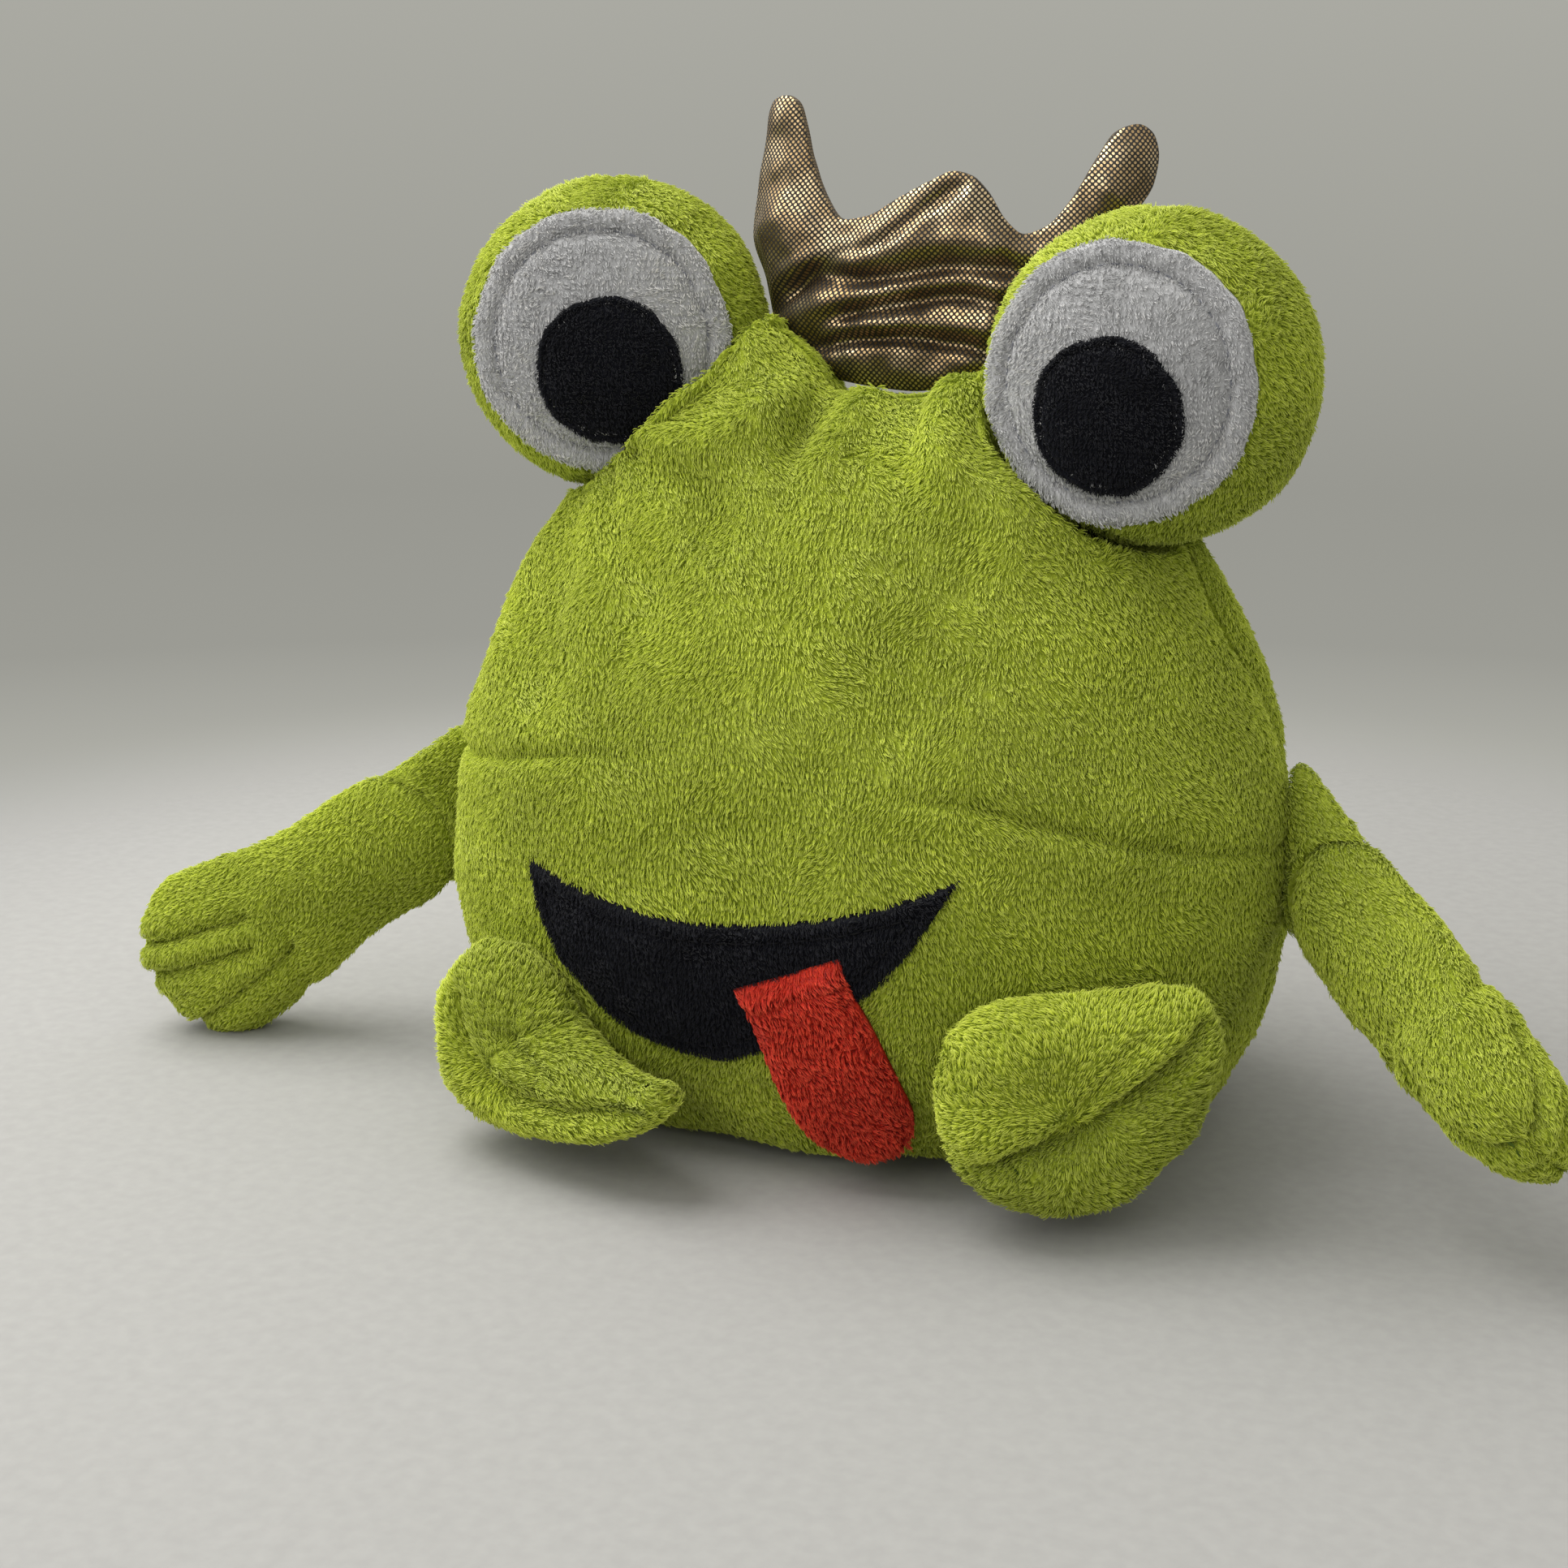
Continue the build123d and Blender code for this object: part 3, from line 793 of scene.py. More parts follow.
def mouth_top(x):
    """Height of the mouth's upper edge, a shallow parabola between its corners."""
    (x0, z0), (x1, z1) = MOUTH_RIGHT, MOUTH_LEFT
    sag = MOUTH_UPPER[1] - (z0 + (z1 - z0) * (MOUTH_UPPER[0] - x0) / (x1 - x0))
    mid = (x - x0) / (x1 - x0)
    return z0 + (z1 - z0) * (x - x0) / (x1 - x0) + sag * 4 * mid * (1 - mid)


def make_mouth():
    """A dark felt patch laid flat on the belly, held by one sewn line inside its edge."""
    columns, rows = 130, 46
    lower = polyline(MOUTH_LOWER, columns)
    upper_x = lower[:, 0]
    upper = np.maximum(mouth_top(upper_x), lower[:, 1])
    v = 0.5 - 0.5 * np.cos(np.linspace(0, pi, rows))
    flat = np.stack([
        np.broadcast_to(upper_x, (rows, columns)),
        lower[:, 1] * (1 - v[:, None]) + upper * v[:, None],
    ], -1)
    outline = np.concatenate([lower, np.stack([upper_x, upper], 1)[::-1]])
    near = edge_distance(flat.reshape(-1, 2), outline)
    fuzz = 0.25 * noise(np.append(flat.reshape(-1, 2), np.zeros((near.size, 1)), 1), 3.1, 12)
    height = 0.4 + 1.5 * smooth(0, 1.6, near) - 0.7 * bump(near, 4.4, 1.0) + fuzz
    top, normal = laid_on_front(flat.reshape(-1, 2), height)
    bottom, _ = laid_on_front(flat.reshape(-1, 2), -0.4 + 0 * near)
    top, bottom = top.reshape(rows, columns, 3), bottom.reshape(rows, columns, 3)
    patch = two_sided("mouth_felt", top, bottom, black_felt)
    attach(patch, "body", "black_felt", "mouth_patch")
    pile("mouth_pile", patch, top, normal.reshape(rows, columns, 3), black_fibre, 5.0, 1.3, closed=False,
         comb=(0.3, 0, -0.6), tuft=1.3, lean=0.75, radius=0.08, swirl=6, seed=120)
    # the sewn line runs where the felt is pulled down
    inner = inset_outline(outline[::2], 4.4)
    run, up = laid_on_front(inner, 1.85 + 0 * inner[:, 0])
    stitches = stitch_object("mouth_stitches", [(run, up)], 0.22, 2.6, 0.8, black_thread, 5)
    attach(stitches, "body", "black_thread", "mouth_stitching")


def inset_outline(outline, amount):
    """A closed outline drawn in by an amount, dropping the points that fold over at sharp corners."""
    outline = np.asarray(outline, float)
    keep = np.linalg.norm(outline - np.roll(outline, 1, 0), axis=1) > 0.05
    outline = outline[keep]
    direction = unit(np.roll(outline, -1, 0) - np.roll(outline, 1, 0))
    following = np.roll(outline, -1, 0)
    area = 0.5 * np.sum(outline[:, 0] * following[:, 1] - following[:, 0] * outline[:, 1])
    normal = np.stack([-direction[:, 1], direction[:, 0]], 1) * np.sign(area)
    moved = outline + normal * amount
    good = edge_distance(moved, outline) > amount * 0.93
    moved = moved[good]
    return np.concatenate([moved, moved[:1]])


# ---------------------------------------------------------------------------------- tongue
TONGUE_TOP, TONGUE_LENGTH, TONGUE_WIDTH, TONGUE_TILT = np.array([7.0, 58.0]), 52.0, 29.0, 22.0
TONGUE_THICK = 4.2


def make_tongue():
    """A padded red tongue sewn along its top edge, with a hem fold, and topstitched round its edge."""
    rows, columns = 64, 40
    half = TONGUE_WIDTH / 2
    turn = radians(TONGUE_TILT)
    v = TONGUE_LENGTH * (1 - (1 - np.linspace(0, 1, rows)) ** 1.35)
    u = np.sin(np.linspace(-pi / 2, pi / 2, columns))
    reach = np.sqrt(np.clip(1 - ((v - (TONGUE_LENGTH - half)) / half) ** 2, 0, 1))
    waist = 1 - 0.035 * smooth(0, 8, v) * (1 - smooth(8, 24, v))
    width = half * np.where(v < TONGUE_LENGTH - half, 1, reach) * waist
    uu = u[None] * np.maximum(width, 0.05)[:, None]
    vv = np.broadcast_to(v[:, None], uu.shape)
    flat = np.stack([
        TONGUE_TOP[0] + uu * cos(turn) + vv * sin(turn),
        TONGUE_TOP[1] + uu * sin(turn) - vv * cos(turn),
    ], -1).reshape(-1, 2)
    outline = np.concatenate([
        np.stack([uu[:, 0], vv[:, 0]], 1),
        np.stack([uu[-1], vv[-1]], 1),
        np.stack([uu[::-1, -1], vv[::-1, -1]], 1),
    ])
    near = edge_distance(np.stack([uu, vv], -1).reshape(-1, 2), outline)
    v_flat = vv.reshape(-1)
    spot = np.stack([uu, vv, 0 * uu], -1).reshape(-1, 3)
    swell = TONGUE_THICK * (0.28 + 0.72 * smooth(-0.6, 4.5, near)) + 0.35 * fbm(spot, 9, 2, 77)
    swell = swell - 1.5 * bump(v_flat, 5.4, 0.9) - 0.55 * bump(near, 2.6, 0.7) - 0.8 * bump(v_flat, 0, 1.2)
    lift = 1.5 + 1.6 * smooth(30, TONGUE_LENGTH, v_flat)
    back, normal = laid_on_front(flat, lift)
    # the pad bridges small hollows of the belly: smooth the base it lies on
    back = back.reshape(rows, columns, 3)
    y = back[..., 1]
    for _ in range(12):
        y[1:-1, 1:-1] = (y[:-2, 1:-1] + y[2:, 1:-1] + y[1:-1, :-2] + y[1:-1, 2:]) / 4
    normal = normal.reshape(rows, columns, 3)
    normal = unit(normal + np.array([0, -0.6, 0]))
    front = back + normal * swell.reshape(rows, columns, 1)
    pad = two_sided("tongue_pad", front, back, red_plush)
    attach(pad, "tongue", "red_plush", "tongue_front_panel", "tongue_back_panel")
    pile("tongue_pile", pad, front, normal, red_fibre, 4.5, 2.1, closed=False, comb=(0.45, 0, -0.7), tuft=1.6,
         lean=0.95, radius=0.1, swirl=7, seed=130)
    # topstitching down both sides and round the tip, the hem fold's line, and a bar tack
    def on_pad(points):
        run = []
        for pu, pv in points:
            i = int(np.argmin(np.abs(v - pv)))
            j = int(np.argmin(np.abs(uu[i] - pu)))
            run.append((front[i, j] + normal[i, j] * 0.35, normal[i, j]))
        return np.array([r[0] for r in run]), np.array([r[1] for r in run])
    inner = half - 2.6
    straight = [(-inner, s) for s in np.linspace(7, TONGUE_LENGTH - half, 26)]
    tip = [(-inner * cos(a), TONGUE_LENGTH - half + inner * sin(a)) for a in np.linspace(0, pi, 34)]
    other = [(-a, b) for a, b in straight[::-1]]
    fold = [(s, 5.4) for s in np.linspace(-half + 1, half - 1, 24)]
    tack = [(half - 3.5, s) for s in np.linspace(1.0, 5.0, 12)]
    runs = [smooth_run(on_pad(path)) for path in (straight + tip + other, fold, tack)]
    stitches = stitch_object("tongue_stitches", runs, 0.26, 2.3, 0.7, red_thread, 9)
    attach(stitches, "tongue", "red_thread", "tongue_stitching")


def smooth_run(run, passes=3):
    points, normals = run
    for _ in range(passes):
        points[1:-1] = (points[:-2] + 2 * points[1:-1] + points[2:]) / 4
    return points, normals


# ---------------------------------------------------------------------------------- eyes
EYE_R, EYE_FACE, EYE_DOME, WHITE_R, PUPIL_R = 40.2, 23.5, 8.0, 32.9, 18.5
EYE_PITCH, PUPIL_DROP, WHITE_SEAM, PUPIL_SEAM = 2.0, 7.2, 5.5, 2.0
EYES = {
    "right": dict(centre=(-72, 4, 198), yaw=15, pupil_in=2.6),
    "left": dict(centre=(74, -6, 193.5), yaw=-7, pupil_in=-0.5),
}
DOME_R = (33.5 ** 2 + EYE_DOME ** 2) / (2 * EYE_DOME)


def dome_at(r):
    """How far in front of the ball's centre the stuffed face is, at a distance from its axis."""
    return EYE_FACE + EYE_DOME - DOME_R + np.sqrt(DOME_R ** 2 - r ** 2)


def polar_pad(name, radius, centre, height_of, depth, place, material,
              rows=40, columns=144, wave=0.35, seed=0):
    """A felt disc whose front follows height_of(distance from the eye's axis, distance from its own edge)."""
    t = np.arange(columns) * 2 * pi / columns
    edge = radius + wave * (np.sin(5 * t + seed) + 0.6 * np.sin(11 * t + 2 * seed) + 0.4 * np.sin(23 * t))
    s = np.sin(np.linspace(0.01, 1, rows) * pi / 2)
    r = s[:, None] * edge[None]
    x, z = centre[0] + r * np.cos(t), centre[1] + r * np.sin(t)
    from_axis = np.hypot(x, z)
    near = (1 - s[:, None]) * edge[None]
    h = height_of(np.minimum(from_axis, WHITE_R), near)
    h = h + 0.16 * noise(np.stack([x, z, 0 * x], -1), 4.0, seed + 61)
    top = np.stack([x, -h, z], -1)
    back = np.stack([x, -(h - depth), z], -1)[::-1]
    grid = np.concatenate([top, back]) @ place[0].T + place[1]
    normals = np.stack([x / 90, 0 * x - 1, z / 90], -1)
    sideways = np.stack([np.cos(t), 0 * t, np.sin(t)], 1)
    normals = unit(normals + 0.9 * (sideways[None] * bump(near, 0, 2.0)[..., None]))
    return closed_grid_object(name, grid, material), top @ place[0].T + place[1], normals @ place[0].T


def make_eye(side, centre, yaw, pupil_in):
    """A stuffed plush ball, its domed white with a loose rim, and the pupil."""
    body = f"{side}_eye"
    rotation = turn_z(yaw) @ turn_x(-EYE_PITCH)
    place = (rotation, np.array(centre, float))
    rows, columns = 110, 150
    t = np.arange(columns) * 2 * pi / columns
    # profile angle from the back pole round to the rim, then in under the white
    rim = np.arccos(EYE_FACE / EYE_R)
    angle = np.linspace(pi - 0.01, rim, rows - 8)
    r = np.concatenate([EYE_R * np.sin(angle), np.linspace(EYE_R * sin(rim) - 1.2, 5, 8)])
    d = np.concatenate([EYE_R * np.cos(angle), np.linspace(EYE_FACE + 0.2, EYE_FACE + 1.0, 8)])
    x, z = r[:, None] * np.cos(t), r[:, None] * np.sin(t)
    p = np.stack([x, -d[:, None] + 0 * x, z], -1)
    n = unit(p)
    near_rim = bump(d[:, None], EYE_FACE, 5) * (d[:, None] < EYE_FACE + 0.1)
    push = 1.0 * fbm(p + 60 * (side == "left"), 27, 2, 14) - 0.5
    seam = np.abs(x) * (d[:, None] < 6) + 60 * (d[:, None] >= 6)
    push = push - 0.9 * bump(seam, 0, 2.0) + 0.35 * near_rim
    ripple = 0.55 * np.sin(13 * t + (2 if side == "left" else 0)) * bump(d[:, None], EYE_FACE - 2, 7)
    push = (push + ripple) * smooth(EYE_FACE + 0.5, EYE_FACE - 1.5, d[:, None])
    p = p + n * push[..., None]
    world = p @ rotation.T + place[1]
    normals = outwards(world, True, centre)
    ball = closed_grid_object(f"{side}_eye_plush", world, green_plush)
    attach(ball, body, "green_plush", f"{side}_eye_ball", f"{side}_eye_stuffing")
    outside = 1 - smooth(EYE_FACE - 0.6, EYE_FACE + 0.2, d[:-1, None] + 0 * x[:-1])
    pile(f"{side}_eye_pile", ball, world, normals, green_fibre, 3.0, 2.2, comb=(0, 0.4, -0.6),
         tuft=1.6, lean=1.05, seed=140 + (side == "left") * 10, mask=outside)

    def white_height(from_axis, near):
        rim_lift = 0.9 * bump(near, 1.2, 2.6)
        sewn = 1.15 * bump(near, WHITE_SEAM, 1.3)
        return dome_at(np.minimum(from_axis, 33.4)) + 1.9 + rim_lift - sewn - 1.0 * bump(near, 0, 0.5)

    white, top, up = polar_pad(
        f"{side}_eye_white_disc", WHITE_R, (0, 0), white_height, 2.0, place, white_plush,
        seed=3 + (side == "left"))
    attach(white, body, "white_plush", f"{side}_eye_white")
    pile(f"{side}_eye_white_pile", white, top, up, white_fibre, 4.0, 1.25, comb=(0.1, 0, -0.4), tuft=1.5,
         lean=0.7, radius=0.09, swirl=7, seed=160 + (side == "left") * 10)

    def pupil_height(from_axis, near):
        return dome_at(from_axis) + 3.4 - 0.7 * bump(near, PUPIL_SEAM, 0.8) - 1.0 * bump(near, 0, 0.5)

    at = (pupil_in, -PUPIL_DROP)
    pupil, top, up = polar_pad(
        f"{side}_eye_pupil_disc", PUPIL_R, at, pupil_height, 1.8, place, black_felt,
        rows=30, columns=110, wave=0.22, seed=8)
    attach(pupil, body, "black_felt", f"{side}_eye_pupil")
    pile(f"{side}_eye_pupil_pile", pupil, top, up, black_fibre, 5.0, 1.0, comb=(0.2, 0, -0.4), tuft=1.2,
         lean=0.7, radius=0.08, swirl=5, seed=180 + (side == "left") * 10)

    def ring_run(radius, centre_xz, lift, height_of, inset):
        a = np.linspace(0, 2 * pi, 240)
        x, z = centre_xz[0] + radius * np.cos(a), centre_xz[1] + radius * np.sin(a)
        h = height_of(np.hypot(x, z), inset + 0 * a) + lift
        points = np.stack([x, -h, z], 1) @ rotation.T + place[1]
        normal = unit(np.stack([x / 90, -1 + 0 * x, z / 90], 1)) @ rotation.T
        return points, normal

    white_run = ring_run(WHITE_R - WHITE_SEAM, (0, 0), 0.1, white_height, WHITE_SEAM)
    hidden = np.hypot(*((white_run[0] - place[1]) @ rotation)[:, [0, 2]].T - np.array(at)[:, None]) < PUPIL_R
    stitches = stitch_object(
        f"{side}_eye_white_stitches", open_runs(white_run, ~hidden), 0.24, 2.5, 0.8, white_thread, 20)
    attach(stitches, body, "white_thread", f"{side}_eye_white_stitching")
    run = ring_run(PUPIL_R - PUPIL_SEAM, at, 0.1, pupil_height, PUPIL_SEAM)
    stitches = stitch_object(f"{side}_eye_pupil_stitches", [run], 0.22, 2.2, 0.7, black_thread, 22)
    attach(stitches, body, "black_thread", f"{side}_eye_pupil_stitching")


def open_runs(run, keep):
    """The stretches of a closed run that are kept, each as its own run."""
    points, normals = run
    if keep.all():
        return [run]
    first = int(np.argmin(keep))
    order = (np.arange(len(keep)) + first) % len(keep)
    runs, current = [], []
    for i in order:
        if keep[i]:
            current.append(i)
        else:
            runs.append(current)
            current = []
    return [(points[r], normals[r]) for r in runs + [current] if len(r) > 3]


# ---------------------------------------------------------------------------------- crown
CROWN_X, CROWN_Y, CROWN_BEND_R, CROWN_HALF = 8.0, 10.0, 110.0, 3.0
BACK_LAYER_SHIFT = 200      # keeps the back layer's foil clear of the front's in the UV map
CROWN = (
    (-28, 190), (-32.6, 201), (-35.8, 212), (-41.0, 224), (-40.8, 237), (-39.6, 247), (-39.0, 253),
    (-37.0, 257.6), (-33.0, 258.8), (-29.2, 257.2), (-26.6, 252), (-23, 243), (-18, 234), (-12, 228.2),
    (-5, 229.3), (3.5, 234), (12, 238.4), (17.5, 240.6), (22, 239.6), (26.5, 235.8), (31.5, 228.6),
    (36, 225.4), (41, 227), (47.5, 233.5), (54.6, 244.4), (59.6, 250.4), (65, 252), (69.2, 249.4),
    (70.4, 244.8), (69.0, 238), (65, 231.8), (57, 225.5), (44, 216.5), (34, 205), (30.5, 191),
    (24, 188.3), (16, 186.4), (8, 185.6), (0, 186), (-9, 187), (-18, 188.4), (-28, 190),
)


def inside(points, outline):
    """Which 2-D points lie within a closed outline."""
    x, y = points[:, 0], points[:, 1]
    result = np.zeros(len(points), bool)
    a = np.asarray(outline, float)
    for (x0, y0), (x1, y1) in zip(a, np.roll(a, -1, 0)):
        crosses = (y0 > y) != (y1 > y)
        with np.errstate(divide="ignore", invalid="ignore"):
            result ^= crosses & (x < (x1 - x0) * (y - y0) / (y1 - y0) + x0)
    return result


def filled(outline, spacing):
    """Triangles that fill an outline with even points: (points, faces, distance from the edge)."""
    outline = np.asarray(outline, float)
    low, high = outline.min(0), outline.max(0)
    i, j = np.meshgrid(np.arange(low[0], high[0], spacing), np.arange(low[1], high[1], spacing * 0.87))
    i[1::2] += spacing / 2
    grid = np.stack([i.ravel(), j.ravel()], 1)
    grid = grid[inside(grid, outline)]
    grid = grid[edge_distance(grid, outline) > spacing * 0.6]
    flat = np.concatenate([outline, grid])
    ring = list(range(len(outline)))
    made = delaunay_2d_cdt([Vector(q) for q in flat], [], [ring], 1, 1e-5)
    points = np.array([tuple(v) for v in made[0]])
    faces = [tuple(f) for f in made[2]]
    return points, faces, edge_distance(points, outline)


def make_crown():
    """A flat stuffed shape cut in three spikes from foil cloth, curved back at its wings."""
    outline = polyline(CROWN, 420)[:-1]
    flat, faces, near = filled(outline, 1.25)
    x, z = flat.T
    spot = np.stack([x, z, 0 * x], 1)
    # soft creases run across the crown where the body's top bulges under it
    crease_at = z - 0.10 * (x - 8) + 0.05 * (x - 8) ** 2 / 8 + 3.0 * noise(spot, 24, 71)
    middle = 1 - smooth(20, 48, np.abs(x - 6))
    wander = 3.5 * noise(spot, 19, 74)
    creases = (
        -3.6 * bump(crease_at + wander, 197, 2.6) - 3.0 * bump(crease_at - wander, 207, 2.2)
        - 3.6 * bump(crease_at + 0.6 * wander, 217, 2.7) + 2.2 * bump(crease_at + wander, 203, 2.6)
        + 2.0 * bump(crease_at - wander, 212, 2.4) + 1.8 * bump(crease_at, 223, 2.6)
        - 2.2 * bump(crease_at + wander - 0.5 * x, 228, 2.0)
    ) * middle
    soft = 1.3 * fbm(spot, 15, 3, 72)
    dents = -1.1 * bump(np.hypot(x + 30, z - 236), 0, 6) + 0.8 * bump(np.hypot(x - 58, z - 240), 0, 8)
    swell = 0.5 + (CROWN_HALF - 0.2) * smooth(-1.0, 6.5, near) ** 0.8
    lean = 4.5 * smooth(205, 258, z) ** 2
    layers = []
    for face in (1, -1):
        t = face * swell + (creases + soft + dents) * smooth(0, 5, near) * (1 if face > 0 else 0.6)
        t = t + 0.35 * soft
        angle = (x - CROWN_X) / CROWN_BEND_R
        r = CROWN_BEND_R + t - lean
        layers.append(np.stack([
            CROWN_X + r * np.sin(angle), CROWN_Y + CROWN_BEND_R - r * np.cos(angle), z
        ], 1))
    edge = np.where(near < 1e-3)[0]
    order = np.argsort(np.argmin(np.linalg.norm(flat[edge][:, None] - outline[None], axis=2), 1))
    uv = np.concatenate([flat, flat + (BACK_LAYER_SHIFT, 0)]) * MM
    crown = two_layers("crown_cloth", np.concatenate(layers), faces, edge[order].tolist(), gold_foil, uv)
    attach(crown, "crown", "gold_foil_fabric", "crown_front_panel", "crown_wadding", "crown_back_panel")


# ---------------------------------------------------------------------------------- limbs
def limb_grid(stations, tip, rows, columns, lens):
    """A round-ended flattened limb along +X, with its seam round the edge, as a grid in its own frame."""
    st = np.array(stations, float)
    start, end = -st[0, 1], st[-1, 0] + tip
    s = start + (end - start) * (0.5 - 0.5 * np.cos(pi * np.linspace(0.012, 0.988, rows)))
    along = np.clip(s, 0, st[-1, 0])
    over = np.where(s < 0, s / start, np.where(s > st[-1, 0], (s - st[-1, 0]) / tip, 0))
    fade = np.sqrt(np.clip(1 - over ** 2, 0, 1))
    h = (curve(st[:, 0], st[:, 1], along) * fade)[:, None]
    t = (curve(st[:, 0], st[:, 2], along) * fade)[:, None]
    a = np.arange(columns) * 2 * pi / columns
    z = h * np.cos(a)
    y = -t * np.sign(np.sin(a)) * np.abs(np.sin(a)) ** lens
    return np.stack([s[:, None] + 0 * z, y, z], -1), a, h


def path_distance(x, z, path):
    """Distance in the limb's own plane from each point to an open path."""
    return edge_distance(np.stack([x.ravel(), z.ravel()], 1), path, closed=False).reshape(x.shape)


def surface_run(local, path, side, count=40):
    """Points and normals along a path drawn on one face of a limb (side -1 is its front)."""
    rows, columns = local.shape[:2]
    tree = BVHTree.FromPolygons([tuple(v) for v in local.reshape(-1, 3)], grid_faces(rows, columns, True))
    points, normals = [], []
    for x, z in polyline(path, count):
        hit, normal, _, _ = tree.ray_cast(Vector((x, 100 * side, z)), Vector((0, -side, 0)))
        if hit is not None:
            normal = np.array(normal)
            points.append(np.array(hit))
            normals.append(normal if normal[1] * side > 0 else -normal)
    return smooth_run((np.array(points), np.array(normals)), 2)


def placed(local, place):
    return local @ place[0].T + place[1]


SEAM_OUT, SEAM_Y, PIVOT = 5.0, -8.0, 24.0
ARM = ((0, 18.4, 9), (18, 18.2, 10.5), (34, 19.8, 11.5), (48, 22.8, 12), (60, 24.4, 11.5))
HAND_TIP = 20.0
FINGERS = (
    ((79, 13.5), (62, 10.2), (45, 6.5)),
    ((80, 4.6), (64, 1.4), (48, -1.6)),
    ((76, -14.2), (56, -11.6), (38, -8.4)),
)
ARMS = {
    "right": dict(side_x=-111.51, height=67.5, forward=19, droop=30.5, drop=2.2, twist=0),
    "left": dict(side_x=110.78, height=78.5, forward=43, droop=27.5, drop=-1.0, twist=52),
}


def make_arm(side, side_x, height, forward, droop, drop, twist):
    """A limp plush arm: a flat fold on the body's side seam, a stuffed limb and sewn fingers."""
    outward = 1 if side == "left" else -1
    heading = -forward if side == "left" else 180 + forward
    swing = turn_z(heading)
    seam = np.array([side_x + outward * SEAM_OUT, SEAM_Y, height])
    turned = swing @ turn_y(droop)
    place = (turned, seam + turned @ np.array([PIVOT, 0, 0]))
    local, a, h = limb_grid(ARM, HAND_TIP, 150, 108, 1.1)
    x, y, z = (local[..., k] for k in range(3))
    spot = local + (0, 0, 300 if side == "left" else 0)
    push = 0.8 * fbm(spot, 30, 2, 81) + 0.3 * fbm(spot, 10, 2, 82)
    from_seam = np.abs(np.sin(a))[None] * h
    push = push - 0.7 * bump(from_seam, 0, 2.0) * smooth(4, 20, x) + 0.3 * bump(from_seam, 6, 4)
    # the palm starts with a dent, and the hand that is turned folds at its wrist
    push = push - 1.5 * bump(x + 0.35 * z, 36, 3.2) * (1 - smooth(-8, 10, z))
    if twist:
        push = push - 1.1 * bump(x - 0.5 * z, 33, 3.0) * smooth(-10, 8, z) + 0.8 * bump(x - 0.4 * z, 42, 6)
    for path in FINGERS:
        d = path_distance(x, z, path)
        push = push + (0.9 * bump(d, 5.0, 3.0) - 3.1 * bump(d, 0, 1.5)) * smooth(0.5, 7, from_seam)
    n = outwards_like(local, grid_normals(local, True), np.array([x[75, 0], 0, 0]))
    local = local + n * push[..., None]
    stitched = [(surface_run(local, path, face), face) for path in FINGERS for face in (-1, 1)]
    if twist:
        edge = ((82, -2), (79, 9), (71, 17.5), (60, 21), (46, 19.5))
        stitched.append((surface_run(local, edge, -1), -1))
    # the hand turns a little about the arm, and hangs below the arm's line
    def shaped(p):
        p = p.copy()
        t = np.radians(twist) * smooth(14, 62, p[..., 0])
        y, z = p[..., 1].copy(), p[..., 2].copy()
        p[..., 1] = y * np.cos(t) - z * np.sin(t)
        p[..., 2] = y * np.sin(t) + z * np.cos(t) - drop * smooth(6, 40, p[..., 0])
        return p

    local = shaped(local)
    world = placed(local, place)
    arm = closed_grid_object(f"{side}_arm_plush", world, green_plush)
    parts = [f"{side}_arm_{part}" for part in ("front_panel", "back_panel", "stuffing")]
    attach(arm, f"{side}_arm", "green_plush", *parts)
    normals = outwards_like(world, grid_normals(world, True), placed(np.array([x[75, 0], 0, 0]), place))
    comb = turned @ np.array([0.9, 0, -0.25])
    pile(f"{side}_arm_pile", arm, world, normals, green_fibre, 3.6, 2.0, comb=comb, tuft=1.5, lean=1.15,
         seed=200 + (side == "left") * 10, bright=0.04)
    runs = []
    for (points, up), face in stitched:
        after = shaped(points + up * 0.01) - shaped(points)
        runs.append((placed(shaped(points), place), unit(after) @ turned.T))
    stitches = stitch_object(f"{side}_finger_stitches", runs, 0.3, 3.0, 0.8, green_thread, 40)
    attach(stitches, f"{side}_arm", "green_thread", f"{side}_finger_stitching")
    make_tab(side, seam, swing, radians(droop))


def outwards_like(points, normals, centre):
    middle = points.shape[0] // 2
    across = normals[middle, 0] @ (points[middle, 0] - centre)
    return normals if across > 0 else -normals


TAB_HALF_HEIGHT, TAB_HALF_THICK = 17.0, 3.1


